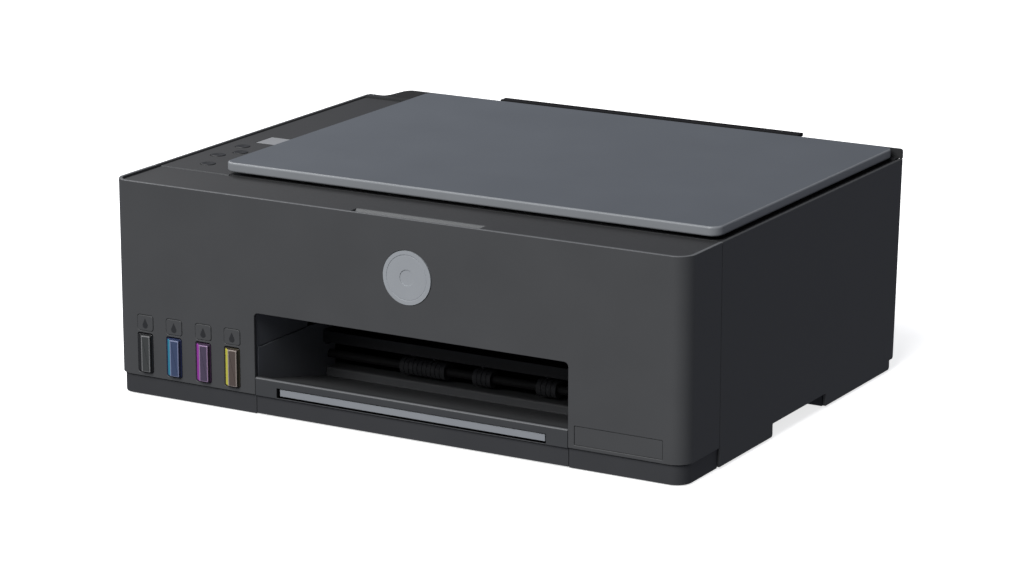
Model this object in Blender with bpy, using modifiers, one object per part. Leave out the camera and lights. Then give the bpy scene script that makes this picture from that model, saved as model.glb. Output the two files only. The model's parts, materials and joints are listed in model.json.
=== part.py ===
"""Tank inkjet printer with a flatbed scanner, as an assembly of separate named pieces.

Sizes are millimetres in the design frame: x to the right, y back from the front panel's
face and z up from the underside of the base. place() turns them into the world frame,
metres with the origin on the floor under the middle of the object's box.
"""
import math

import bmesh
import bpy
from mathutils import Matrix, Vector

MM = 0.001

# Driving dimensions
HALF_WIDTH = 217.33
FRONT_MOST = -3.0
REAR_MOST = 358.5
FOOT_HEIGHT = 1.0
DEPTH_CENTRE = (FRONT_MOST + REAR_MOST) / 2

WALL = 2.5
GAP = 0.3
CORNER_RADIUS = 12.0
RIM_Z = 148.0
TOP_Z = 146.8
DOOR_BOTTOM_Z = 13.5
DOOR_WRAP_Y = 47.3
DOOR_PIVOT = (0.0, 1.25, 14.9)
SIDE_FRONT_Y = 47.7
SIDE_BOTTOM_Z = 0.5
REAR_STEP_Z = 7.0
REAR_STEP_Y = 308.0
REAR_FOOT_Y = 313.5
REAR_TOP_Y = 321.4

# Badge on the front panel: (x, z) of its middle
EMBLEM = (14.9, 109.3)
EMBLEM_RADIUS = 18.0

# Output mouth and its tray
MOUTH_LEFT = -104.4
MOUTH_RIGHT = 133.7
MOUTH_TOP = 69.7
TRAY_LIP_Z = 25.6
SLOT_LEFT = -87.4
SLOT_RIGHT = 117.6
SLOT_LOW = 13.7
SLOT_HIGH = 20.3
SHELF_Y = 86.0
SHELF_Z = 11.4
SHELF_REAR_Y = 100.0
WALL_REAR_Y = 99.0
WALL_SEAM_Z = 45.1
MOUTH_CENTRE_X = (MOUTH_LEFT + MOUTH_RIGHT) / 2

# The tray's floor and the extender below it fall by this much for each millimetre towards the back
TRAY_FALL = 0.22
FLOOR_FRONT_Z = 24.5
TRAY_SHEET = 2.0
EXTENDER_FRONT_Y = 0.9
EXTENDER_REAR_Y = 62.0

# Ink tanks
TANK_X = {"black": -193.0, "cyan": -169.5, "magenta": -145.7, "yellow": -122.5}
TANK_WIDTH = 22.0
WINDOW_WIDTH = 11.0
WINDOW_LOW = 17.6
WINDOW_HIGH = 41.6
TANK_TOP_Z = 74.0
CAP_PIVOT_Y = 35.0
CAP_PIVOT_Z = 84.0

# Scanner
GLASS_LEFT = -145.0
GLASS_RIGHT = 174.0
GLASS_FRONT = 66.0
GLASS_REAR = 300.0
PANEL_RIGHT = -158.3
STRIP_BACK_Y = 52.3
BED_LOW_Z = 116.0
LID_LEFT = -161.3
LID_RIGHT = 212.4
LID_FRONT = 50.6
LID_REAR = 317.8
LID_LOW_Z = 149.3
LID_HIGH_Z = 156.0
LID_PIVOT_Y = 320.6
LID_PIVOT_Z = 152.6
DECK_FRONT_Y = 319.1
DECK_TOP_Z = 154.8
LID_HINGE_X = (-150.0, 195.0)

# (y, z) of the rail that the scan bar slides on
SCAN_RAIL = (183.0, 124.0)
BUTTONS = {"power_button": (-189.8, 73.6), "cancel_button": (-199.3, 99.4),
           "copy_button": (-190.5, 114.0), "wireless_button": (-199.8, 130.3)}
BUTTON_RADIUS = 5.2
DISPLAY_LOW = (-199.0, 139.0)
DISPLAY_HIGH = (-182.0, 166.0)

# Rear paper feed
HOPPER_LEFT = -122.0
HOPPER_RIGHT = 152.0
SUPPORT_LEFT = -105.0
SUPPORT_RIGHT = 135.0
SUPPORT_PIVOT = (MOUTH_CENTRE_X, 328.5, 60.0)
PICK_AXIS = (300.0, 62.0)

# Paper drive, seen along x: (y, z) of each axis
FEED_AXIS = (175.0, 23.0)
OUTPUT_AXIS = (92.0, 19.9)
STAR_AXIS = (92.0, 31.1)
GEAR_MODULE = 1.0
FEED_TEETH = 36
OUTPUT_TEETH = 30
IDLER_TEETH = 60
PINION_TEETH = 12
GEAR_LEFT = -199.0
GEAR_WIDTH = 5.0

# Low and high x of the output shaft's three rubber rolls
OUTPUT_ROLLS = ((-45.0, -10.0), (12.0, 26.0), (61.0, 76.0))

# (y, z) of the carriage's guide rod, and the carriage's place
CARRIAGE_X = 165.0
CARRIAGE_HALF = 35.0
ROD_AXIS = (163.0, 76.0)
ROD_RADIUS = 4.0
BELT_Z = 98.0
BELT_FRONT_Y = 160.5
BELT_WIDTH = 5.0
PULLEY_RADIUS = 5.0
PULLEY_X = (-190.0, 194.0)

INLET_X = -170.0
USB_X = 185.0

parts = bpy.data.collections.new("tank_inkjet_printer")
cutters = bpy.data.collections.new("cutters")
materials = {}


def place(x, y, z):
    """World position of a point of the design frame."""
    return Vector((x, y - DEPTH_CENTRE, z + FOOT_HEIGHT)) * MM


def rear_y(z):
    """Depth of the leaning rear face at a height."""
    return REAR_FOOT_Y + (REAR_TOP_Y - REAR_FOOT_Y) * z / RIM_Z


def material(name, colour, roughness=0.5, metallic=0.0, alpha=1.0):
    """A Principled material, made once for each name."""
    if name not in materials:
        made = bpy.data.materials.new(name)
        made.use_nodes = True
        shader = made.node_tree.nodes["Principled BSDF"]
        shader.inputs["Base Color"].default_value = (*colour, 1.0)
        shader.inputs["Roughness"].default_value = roughness
        shader.inputs["Metallic"].default_value = metallic
        shader.inputs["Alpha"].default_value = alpha
        materials[name] = made
    return materials[name]


def case_plastic():
    """Dark moulded plastic of the outer shells."""
    return material("case_plastic", (0.055, 0.057, 0.06), 0.5)


def top_plastic():
    """The same plastic on the top pieces."""
    return material("top_plastic", (0.06, 0.062, 0.066), 0.5)


def add_box(bm, low, high):
    """A box between two corners."""
    corners = bmesh.ops.create_cube(bm, size=1.0)["verts"]
    size = [high[i] - low[i] for i in range(3)]
    middle = [(high[i] + low[i]) / 2 for i in range(3)]
    bmesh.ops.scale(bm, vec=size, verts=corners)
    bmesh.ops.translate(bm, vec=middle, verts=corners)
    return corners


def add_cylinder(bm, axis, centre, radius, length, segments=20, radius_end=None):
    """A cylinder or cone along an axis letter, with its middle at a point."""
    verts = bmesh.ops.create_cone(
        bm, cap_ends=True, segments=segments, radius1=radius,
        radius2=radius if radius_end is None else radius_end, depth=length)["verts"]
    turn = {"x": (math.pi / 2, "Y"), "y": (-math.pi / 2, "X"), "z": (0.0, "Z")}[axis]
    bmesh.ops.rotate(bm, verts=verts, matrix=rotation(*turn))
    bmesh.ops.translate(bm, vec=centre, verts=verts)
    return verts


def rotation(angle, letter):
    """A 3 by 3 rotation about a world axis."""
    return Matrix.Rotation(angle, 3, letter)


def add_prism(bm, axis, outline, low, high):
    """A flat outline drawn across an axis, extruded along it from low to high."""
    order = {"x": lambda u, v: (low, u, v), "y": lambda u, v: (u, low, v),
             "z": lambda u, v: (u, v, low)}[axis]
    step = {"x": (high - low, 0, 0), "y": (0, high - low, 0), "z": (0, 0, high - low)}[axis]
    face = bm.faces.new([bm.verts.new(order(u, v)) for u, v in outline])
    raised = bmesh.ops.extrude_face_region(bm, geom=[face])["geom"]
    moved = [item for item in raised if isinstance(item, bmesh.types.BMVert)]
    bmesh.ops.translate(bm, vec=step, verts=moved)
    return moved


def add_turned(bm, axis, centre, profile, segments=20):
    """A turned shape: (radius, height) points from axis to axis, spun round an axis letter."""
    ring = [bm.verts.new((radius, 0.0, height)) for radius, height in profile]
    edges = [bm.edges.new(pair) for pair in zip(ring, ring[1:])]
    spun = bmesh.ops.spin(bm, geom=ring + edges, cent=(0, 0, 0), axis=(0, 0, 1),
                          angle=2 * math.pi, steps=segments, use_duplicate=False)
    linked = set(ring) | {item for item in spun["geom_last"] if isinstance(item, bmesh.types.BMVert)}
    grown = set()
    while len(grown) < len(linked):
        grown = set(linked)
        for vert in grown:
            linked |= {edge.other_vert(vert) for edge in vert.link_edges}
    bmesh.ops.remove_doubles(bm, verts=list(linked), dist=0.001)
    verts = [vert for vert in linked if vert.is_valid]
    turn = {"x": (math.pi / 2, "Y"), "y": (-math.pi / 2, "X"), "z": (0.0, "Z")}[axis]
    bmesh.ops.rotate(bm, verts=verts, matrix=rotation(*turn))
    bmesh.ops.translate(bm, vec=centre, verts=verts)
    return verts


def arc(centre, radius, start, end, steps):
    """Points of a circular arc, with the angles in degrees."""
    return [(centre[0] + radius * math.cos(math.radians(start + (end - start) * i / steps)),
             centre[1] + radius * math.sin(math.radians(start + (end - start) * i / steps)))
            for i in range(steps + 1)]


def rounded_rectangle(low, high, radius, steps=4):
    """A rectangle's outline with four round corners."""
    (left, bottom), (right, top) = low, high
    points = []
    for centre, start in (((right - radius, bottom + radius), -90), ((right - radius, top - radius), 0),
                          ((left + radius, top - radius), 90), ((left + radius, bottom + radius), 180)):
        points += arc(centre, radius, start, start + 90, steps)
    return points


def make(name, bm, look, origin=(0.0, 0.0, 0.0), collection=None):
    """An object from a mesh drawn in the design frame, with its origin at a point of that frame."""
    bmesh.ops.recalc_face_normals(bm, faces=bm.faces)
    bmesh.ops.translate(bm, vec=-Vector(origin), verts=bm.verts)
    bmesh.ops.scale(bm, vec=(MM, MM, MM), verts=bm.verts)
    mesh = bpy.data.meshes.new(name)
    bm.to_mesh(mesh)
    bm.free()
    piece = bpy.data.objects.new(name, mesh)
    piece.location = place(*origin)
    (collection or parts).objects.link(piece)
    if look:
        mesh.materials.append(look)
    return piece


def boolean(piece, bm, operation):
    """Cut a mesh out of a piece, or fuse it on."""
    tool = make(f"{piece.name}_{operation.lower()}_{len(piece.modifiers)}", bm, None, collection=cutters)
    tool.hide_render = True
    tool.display_type = "WIRE"
    step = piece.modifiers.new(operation.lower(), "BOOLEAN")
    step.operation = operation
    step.object = tool
    return piece


def cut(piece, *boxes):
    """Cut boxes, which may not touch each other, out of a piece."""
    bm = bmesh.new()
    for low, high in boxes:
        add_box(bm, low, high)
    return boolean(piece, bm, "DIFFERENCE")


def fuse(piece, *boxes):
    """Fuse boxes onto a piece, one after the other."""
    for low, high in boxes:
        bm = bmesh.new()
        add_box(bm, low, high)
        boolean(piece, bm, "UNION")
    return piece


def box_part(name, look, low, high, origin=(0.0, 0.0, 0.0)):
    """A piece that starts as one box."""
    bm = bmesh.new()
    add_box(bm, low, high)
    return make(name, bm, look, origin)


def prism_part(name, look, axis, outline, low, high, origin=(0.0, 0.0, 0.0)):
    """A piece that starts as one extruded outline."""
    bm = bmesh.new()
    add_prism(bm, axis, outline, low, high)
    return make(name, bm, look, origin)


def bevel(piece, width, segments=1, angle=40.0):
    """Round a piece's sharp edges."""
    step = piece.modifiers.new("bevel", "BEVEL")
    step.width = width * MM
    step.segments = segments
    step.angle_limit = math.radians(angle)
    step.use_clamp_overlap = True
    return piece


def band_outline(path, thickness):
    """A strip's outline: a path and its copy moved to the left of the way it runs."""
    inner = []
    for index, point in enumerate(path):
        before = path[max(index - 1, 0)]
        after = path[min(index + 1, len(path) - 1)]
        run = Vector(after) - Vector(before)
        side = Vector((-run.y, run.x)).normalized() * thickness
        inner.append((point[0] + side.x, point[1] + side.y))
    return list(path) + inner[::-1]


SCREW_PLACES = [(x, y) for x in (-150.0, 0.0, 150.0) for y in (60.0, 290.0)]
FOOT_PLACES = [(x, y) for x in (-185.0, 185.0) for y in (25.0, 295.0)]


def front_path(inset, back_y):
    """The plan outline of the front and its two round corners, inset from the outer skin."""
    half = HALF_WIDTH - inset
    radius = CORNER_RADIUS - inset
    centre_y = CORNER_RADIUS
    right = arc((HALF_WIDTH - CORNER_RADIUS, centre_y), radius, 0, -90, 6)
    left = arc((CORNER_RADIUS - HALF_WIDTH, centre_y), radius, -90, -180, 6)
    return [(half, back_y)] + right + left + [(-half, back_y)]


def make_base():
    """Bottom case: a floor with low walls and feet, hand grips at both sides and screw holes."""
    inset = 1.5
    wall_top = 12.9
    back = REAR_STEP_Y - 0.8
    outer = front_path(inset, SIDE_FRONT_Y - 0.5)
    inner_half = HALF_WIDTH - WALL - 0.4
    plan = [(inner_half, back), (inner_half, SIDE_FRONT_Y - 0.5)] + outer
    plan += [(-inner_half, SIDE_FRONT_Y - 0.5), (-inner_half, back)]
    base = prism_part("base_housing", material("base_plastic", (0.045, 0.047, 0.05), 0.55),
                      "z", plan, 0.0, wall_top)
    hollow = bmesh.new()
    half = inner_half - WALL
    add_prism(hollow, "z", [(half, back - WALL), (half, 13.0), (205.0, 4.5), (-205.0, 4.5),
                            (-half, 13.0), (-half, back - WALL)], 3.0, wall_top + 1.0)
    boolean(base, hollow, "DIFFERENCE")
    for side in (-1, 1):
        inside, outside = sorted((side * 199.5, side * (inner_half - 0.1)))
        fuse(base, ((inside, 121.5, 0.5), (outside, 208.0, 11.8)))
        inside, outside = sorted((side * 202.0, side * 220.0))
        cut(base, ((inside, 124.5, -1.0), (outside, 205.0, 9.3)))
    cut(base, ((MOUTH_LEFT, -1.0, -1.0), (MOUTH_RIGHT, 5.2, 20.0)))
    holes = bmesh.new()
    for x, y in SCREW_PLACES:
        add_cylinder(holes, "z", (x, y, 1.5), 4.0, 6.0, 12)
    boolean(base, holes, "DIFFERENCE")
    fuse(base, *[((x - 12.0, y - 7.0, -FOOT_HEIGHT), (x + 12.0, y + 7.0, 1.0)) for x, y in FOOT_PLACES])


def make_side_cover(side):
    """One side shell: a plate with a hand-grip notch and a leaning rear edge."""
    step_y = rear_y(REAR_STEP_Z)
    outline = [(SIDE_FRONT_Y, SIDE_BOTTOM_Z), (124.5, SIDE_BOTTOM_Z), (124.5, 9.3), (205.0, 9.3),
               (205.0, SIDE_BOTTOM_Z), (REAR_STEP_Y - 2.0, SIDE_BOTTOM_Z), (REAR_STEP_Y, SIDE_BOTTOM_Z + 2.0),
               (REAR_STEP_Y, REAR_STEP_Z), (step_y - 1.0, REAR_STEP_Z), (step_y, REAR_STEP_Z + 1.5),
               (REAR_TOP_Y, RIM_Z), (SIDE_FRONT_Y, RIM_Z)]
    name = "side_cover_right" if side > 0 else "side_cover_left"
    low, high = sorted((side * (HALF_WIDTH - WALL), side * HALF_WIDTH))
    cover = prism_part(name, case_plastic(), "x", outline, low, high)
    ledge = sorted((side * (HALF_WIDTH - WALL - 4.0), side * (HALF_WIDTH - WALL + 0.5)))
    fuse(cover, ((ledge[0], 60.0, 112.0), (ledge[1], 300.0, 115.5)))


def make_rear_cover():
    """Leaning back panel with a bottom flange, the paper hopper's gap and two socket holes."""
    half = HALF_WIDTH - WALL - 0.4
    foot_y = rear_y(REAR_STEP_Z)
    outline = [(REAR_STEP_Y - 0.4, REAR_STEP_Z), (foot_y, REAR_STEP_Z), (rear_y(TOP_Z), TOP_Z),
               (rear_y(TOP_Z) - WALL, TOP_Z), (foot_y - WALL, REAR_STEP_Z + WALL),
               (REAR_STEP_Y - 0.4, REAR_STEP_Z + WALL)]
    cover = prism_part("rear_cover", case_plastic(), "x", outline, -half, half)
    cut(cover,
        ((HOPPER_LEFT - GAP, 280.0, 19.7), (HOPPER_RIGHT + GAP, 360.0, 200.0)),
        ((INLET_X - 12.3, 290.0, 14.7), (INLET_X + 12.3, 340.0, 35.3)),
        ((USB_X - 7.3, 290.0, 17.7), (USB_X + 7.3, 340.0, 32.3)))


def make_sockets():
    """Mains inlet and data socket, each a block with a mouth, set in the rear cover."""
    look = material("socket_plastic", (0.012, 0.012, 0.013), 0.45)
    inlet = box_part("power_inlet", look, (INLET_X - 12, 290.0, 15.0), (INLET_X + 12, 314.2, 35.0))
    cut(inlet, ((INLET_X - 9, 302.0, 18.0), (INLET_X + 9, 320.0, 32.0)))
    pins = bmesh.new()
    for x in (-4.5, 4.5):
        add_cylinder(pins, "y", (INLET_X + x, 305.5, 25.0), 1.2, 9.0, 8)
    boolean(inlet, pins, "UNION")
    port = box_part("usb_port", look, (USB_X - 7, 293.0, 18.0), (USB_X + 7, 314.2, 32.0))
    cut(port, ((USB_X - 5, 302.0, 20.5), (USB_X + 5, 320.0, 29.5)))
    fuse(port, ((USB_X - 2.5, 301.0, 24.0), (USB_X + 2.5, 310.0, 26.0)))


def make_front_top_strip():
    """Fixed strip behind the front panel's rim, with the scoop that a finger uses to pull it."""
    inset = WALL + 0.5
    plan = front_path(inset, STRIP_BACK_Y)
    strip = prism_part("front_top_strip", top_plastic(),
                       "z", plan, 138.0, TOP_Z)
    scoop = bmesh.new()
    add_prism(scoop, "x", [(-5.0, 141.0), (8.0, 141.0), (17.0, 150.0), (-5.0, 150.0)], -33.0, 64.0)
    boolean(strip, scoop, "DIFFERENCE")
    under = bmesh.new()
    half = HALF_WIDTH - 2 * WALL - 1.0
    add_box(under, (-half, 11.0, 130.0), (-36.0, 48.0, 144.0))
    add_box(under, (67.0, 11.0, 130.0), (half, 48.0, 144.0))
    boolean(strip, under, "DIFFERENCE")


def make_scanner():
    """Scanner bezel, lower tray with its rail, glass and control panel."""
    half = HALF_WIDTH - WALL - 0.5
    front = STRIP_BACK_Y + 0.6
    back = 313.8
    bezel = box_part("scanner_bezel", top_plastic(),
                     (PANEL_RIGHT + GAP, front, 140.3), (half, back, TOP_Z))
    cut(bezel, ((GLASS_LEFT - GAP, GLASS_FRONT - GAP, 130.0), (GLASS_RIGHT + GAP, GLASS_REAR + GAP, 160.0)))
    bed = box_part("scanner_bed", material("bed_plastic", (0.03, 0.03, 0.032), 0.6),
                   (PANEL_RIGHT + GAP, front, BED_LOW_Z), (half, back, 140.0))
    cut(bed, ((GLASS_LEFT - 4.0, GLASS_FRONT - 4.0, BED_LOW_Z + 2.5),
              (GLASS_RIGHT + 4.0, GLASS_REAR + 4.0, 150.0)))
    rail = bmesh.new()
    add_cylinder(rail, "x", ((GLASS_LEFT + GLASS_RIGHT) / 2, SCAN_RAIL[0], SCAN_RAIL[1]),
                 3.0, GLASS_RIGHT - GLASS_LEFT + 10.0, 12)
    boolean(bed, rail, "UNION")
    box_part("scanner_glass", material("platen_glass", (0.5, 0.55, 0.55), 0.05, 0.0, 0.4),
                     (GLASS_LEFT, GLASS_FRONT, 144.0), (GLASS_RIGHT, GLASS_REAR, 146.5))
    bar = box_part("scan_bar", material("scan_bar_plastic", (0.02, 0.02, 0.022), 0.5),
                   (-135.0, 75.0, 127.5), (-117.0, 291.0, 143.4), (-126.0, SCAN_RAIL[0], SCAN_RAIL[1]))
    fuse(bar, ((-135.0, SCAN_RAIL[0] - 7.0, 119.5), (-117.0, SCAN_RAIL[0] + 7.0, 128.0)))
    bore = bmesh.new()
    add_cylinder(bore, "x", (-126.0, SCAN_RAIL[0], SCAN_RAIL[1]), 3.1, 30.0, 12)
    boolean(bar, bore, "DIFFERENCE")


def make_control_panel():
    """Button panel left of the lid, with the display's pocket, and four sprung buttons."""
    low = (3.0 - HALF_WIDTH, STRIP_BACK_Y + 0.6, 143.0)
    panel = box_part("control_panel", top_plastic(), low, (PANEL_RIGHT - GAP, 313.8, TOP_Z))
    holes = bmesh.new()
    for x, y in BUTTONS.values():
        add_cylinder(holes, "z", (x, y, 145.0), BUTTON_RADIUS + 0.3, 10.0, 20)
    boolean(panel, holes, "DIFFERENCE")
    cut(panel, ((DISPLAY_LOW[0] - GAP, DISPLAY_LOW[1] - GAP, 145.2),
                (DISPLAY_HIGH[0] + GAP, DISPLAY_HIGH[1] + GAP, 150.0)))
    for name, (x, y) in BUTTONS.items():
        bm = bmesh.new()
        profile = [(0.0, 147.3), (BUTTON_RADIUS - 0.7, 147.3), (BUTTON_RADIUS, 146.9),
                   (BUTTON_RADIUS, 142.0), (0.0, 142.0)]
        add_turned(bm, "z", (x, y, 0.0), profile, 20)
        make(name, bm, material("button_plastic", (0.035, 0.037, 0.04), 0.4), (x, y, 147.3))


def deck_outline():
    """The rear deck seen from the front: a soft shoulder at the left and a small round end at the right."""
    left, rise = -206.0, 30.0
    low_z = RIM_Z + GAP
    steps = 8
    climb = (DECK_TOP_Z - low_z) / 2
    shoulder = [(left + rise * i / steps, low_z + climb * (1 - math.cos(math.pi * i / steps)))
                for i in range(steps + 1)]
    half = HALF_WIDTH - WALL - 0.5
    return ([(left, TOP_Z + 0.1), (half, TOP_Z + 0.1), (half, low_z), (HALF_WIDTH, low_z)]
            + arc((HALF_WIDTH - 1.5, DECK_TOP_Z - 1.5), 1.5, 0, 90, 3) + shoulder[::-1])


def make_rear_feed_housing():
    """Raised rear deck with hinge pockets and, behind it, the hopper that holds the paper."""
    outline = [(312.0, 20.0), (331.0, 20.0), (REAR_MOST, 112.0), (REAR_MOST, 140.0),
               (340.0, 147.0), (314.1, 147.0), (314.1, 100.0)]
    housing = prism_part("rear_feed_housing", case_plastic(), "x", outline, HOPPER_LEFT, HOPPER_RIGHT)
    hollow = bmesh.new()
    inner = [(300.0, 22.5), (329.3, 22.5), (REAR_MOST - WALL, 113.0), (REAR_MOST - WALL, 160.0),
             (300.0, 160.0)]
    add_prism(hollow, "x", inner, HOPPER_LEFT + WALL, HOPPER_RIGHT - WALL)
    boolean(housing, hollow, "DIFFERENCE")
    half = HALF_WIDTH - WALL - 0.5
    deck = bmesh.new()
    add_prism(deck, "y", deck_outline(), DECK_FRONT_Y, REAR_TOP_Y)
    boolean(housing, deck, "UNION")
    fuse(housing, ((-half, 314.1, 143.0), (half, 318.2, 147.5)),
         ((-half, 314.1, TOP_Z + GAP), (half, 320.5, 148.6)),
         ((HOPPER_LEFT, 294.0, 33.0), (HOPPER_LEFT + WALL, 318.0, 75.0)),
         ((HOPPER_RIGHT - WALL, 294.0, 33.0), (HOPPER_RIGHT, 318.0, 75.0)),
         ((HOPPER_LEFT + 0.5, 306.0, 34.0), (HOPPER_RIGHT - 0.5, 309.0, 38.0)),
         *[((x - 10.0, 320.9, 147.1), (x + 10.0, 324.6, 153.6)) for x in LID_HINGE_X])
    cut(housing, ((SUPPORT_LEFT - GAP, 321.9, 120.0), (SUPPORT_RIGHT + GAP, 331.0, 160.0)))
    cut(housing, ((-100.0, 317.6, 120.0), (130.0, 322.0, 160.0)),
        *[((x - 5.5, 305.0, 145.3), (x + 5.5, 323.2, 160.0)) for x in LID_HINGE_X])
    bores = bmesh.new()
    for x in LID_HINGE_X:
        add_cylinder(bores, "x", (x, LID_PIVOT_Y, LID_PIVOT_Z), 1.2, 17.6, 12)
    add_cylinder(bores, "x", (MOUTH_CENTRE_X, *PICK_AXIS), 3.1, 290.0, 16)
    add_cylinder(bores, "x", (MOUTH_CENTRE_X, *SUPPORT_PIVOT[1:]), 2.1, 290.0, 12)
    boolean(housing, bores, "DIFFERENCE")


def make_paper_support():
    """Tilting rear paper support with its sliding extension and two width guides."""
    support = box_part("paper_support", material("tray_plastic", (0.012, 0.012, 0.013), 0.4),
                       (SUPPORT_LEFT, 327.5, 48.0), (SUPPORT_RIGHT, 330.0, 154.0), SUPPORT_PIVOT)
    fuse(support, ((SUPPORT_LEFT, 326.0, 152.6), (SUPPORT_RIGHT, 334.0, 156.0)))
    for edge, inward in ((-86.0, 1), (116.0, -1)):
        xs = sorted((edge, edge - 5.0 * inward))
        lips = sorted((edge - 5.0 * inward, edge + 4.0 * inward))
        fuse(support, ((xs[0], 329.5, 64.0), (xs[1], 333.7, 140.0)),
             ((lips[0], 332.4, 64.0), (lips[1], 333.7, 140.0)))
    cut(support, ((-86.0, 330.1, 150.0), (116.0, 332.3, 160.0)))
    pins = bmesh.new()
    add_cylinder(pins, "x", ((SUPPORT_LEFT - 121.0) / 2, *SUPPORT_PIVOT[1:]), 2.0, 16.5, 12)
    add_cylinder(pins, "x", ((SUPPORT_RIGHT + 151.0) / 2, *SUPPORT_PIVOT[1:]), 2.0, 16.5, 12)
    boolean(support, pins, "UNION")
    box_part("support_extension", material("tray_plastic", (0.012, 0.012, 0.013), 0.4),
             (-85.6, 330.4, 64.0), (115.6, 332.0, 155.0), (MOUTH_CENTRE_X, 331.2, 64.0))
    for name, x, inward in (("width_guide_left", -95.0, 1), ("width_guide_right", 125.0, -1)):
        blade = sorted((x, x - 3.0 * inward))
        foot = sorted((x, x - 12.0 * inward))
        guide = box_part(name, material("tray_plastic", (0.012, 0.012, 0.013), 0.4),
                         (blade[0], 303.6, 38.3), (blade[1], 322.0, 114.0), (x, 313.0, 38.3))
        fuse(guide, ((foot[0], 304.5, 38.3), (foot[1], 311.0, 42.0)))


def make_front_door():
    """Front panel with wrapped sides, on pins at its foot, and the emblem set in its face."""
    outline = band_outline(front_path(0.0, DOOR_WRAP_Y), -WALL)
    door = prism_part("front_door", case_plastic(), "z", outline, DOOR_BOTTOM_Z, RIM_Z, DOOR_PIVOT)
    holes = bmesh.new()
    add_prism(holes, "y", [(MOUTH_RIGHT, -5.0), *arc((MOUTH_RIGHT - 3.0, MOUTH_TOP - 3.0), 3.0, 0, 90, 3),
                           *arc((MOUTH_LEFT + 3.0, MOUTH_TOP - 3.0), 3.0, 90, 180, 3), (MOUTH_LEFT, -5.0)],
              -5.0, 6.0)
    for x in TANK_X.values():
        window = rounded_rectangle((x - 6.3, 16.6), (x + 6.3, 43.0), 1.5, 2)
        add_prism(holes, "y", window, -5.0, 6.0)
        label = rounded_rectangle((x - 6.2, 44.5), (x + 6.2, 55.7), 2.0, 2)
        add_prism(holes, "y", label, -5.0, 1.2)
    add_box(holes, (138.2, -5.0, 16.0), (201.3, 1.2, 28.7))
    add_cylinder(holes, "y", (EMBLEM[0], -1.85, EMBLEM[1]), EMBLEM_RADIUS + 0.3, 6.3, 32)
    boolean(door, holes, "DIFFERENCE")
    pins = bmesh.new()
    for x in (MOUTH_LEFT, MOUTH_RIGHT):
        add_cylinder(pins, "x", (x, *DOOR_PIVOT[1:]), 0.8, 4.0, 10)
    boolean(door, pins, "UNION")
    disc = bmesh.new()
    profile = [(0.0, -1.0), (EMBLEM_RADIUS, -1.0), (EMBLEM_RADIUS, 0.1), (EMBLEM_RADIUS - 0.5, 0.5), (0.0, 0.5)]
    add_turned(disc, "y", (EMBLEM[0], 0.0, EMBLEM[1]), [(r, -h) for r, h in profile][::-1], 32)
    make("emblem_disc", disc, material("emblem_metal", (0.3, 0.31, 0.32), 0.35, 0.7), DOOR_PIVOT)


def make_lid():
    """Scanner lid: shell, white backing pad and two hinge arms with stub pins."""
    pivot = (0.0, LID_PIVOT_Y, LID_PIVOT_Z)
    outline = rounded_rectangle((LID_LEFT, LID_FRONT), (LID_RIGHT, LID_REAR), 8.0, 4)
    shell = prism_part("lid_shell", material("lid_plastic", (0.13, 0.14, 0.155), 0.45),
                       "z", outline, LID_LOW_Z, LID_HIGH_Z, pivot)
    bevel(shell, 1.0, 2, 60.0)
    cut(shell, ((LID_LEFT + 4.0, LID_FRONT + 4.0, 140.0), (LID_RIGHT - 4.0, LID_REAR - 4.0, 152.5)))
    box_part("lid_backing", material("backing_foam", (0.8, 0.8, 0.8), 0.9),
             (-141.0, 66.0, 147.1), (170.0, 300.0, 152.2), pivot)
    for name, x in zip(("lid_hinge_left", "lid_hinge_right"), LID_HINGE_X):
        arm = box_part(name, material("hinge_plastic", (0.03, 0.03, 0.032), 0.5),
                       (x - 5.0, 282.0, 147.6), (x + 5.0, 306.0, 152.2), pivot)
        fuse(arm, ((x - 5.0, 300.0, 147.6), (x + 5.0, 320.0, 149.0)),
             ((x - 5.0, 318.9, 147.6), (x + 5.0, 322.3, LID_PIVOT_Z)))
        barrel = bmesh.new()
        profile = [(0.0, -8.5), (1.1, -8.5), (1.1, -5.0), (2.0, -5.0), (2.0, 5.0), (1.1, 5.0), (1.1, 8.5),
                   (0.0, 8.5)]
        add_turned(barrel, "x", (x, LID_PIVOT_Y, LID_PIVOT_Z), profile, 12)
        boolean(arm, barrel, "UNION")


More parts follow.
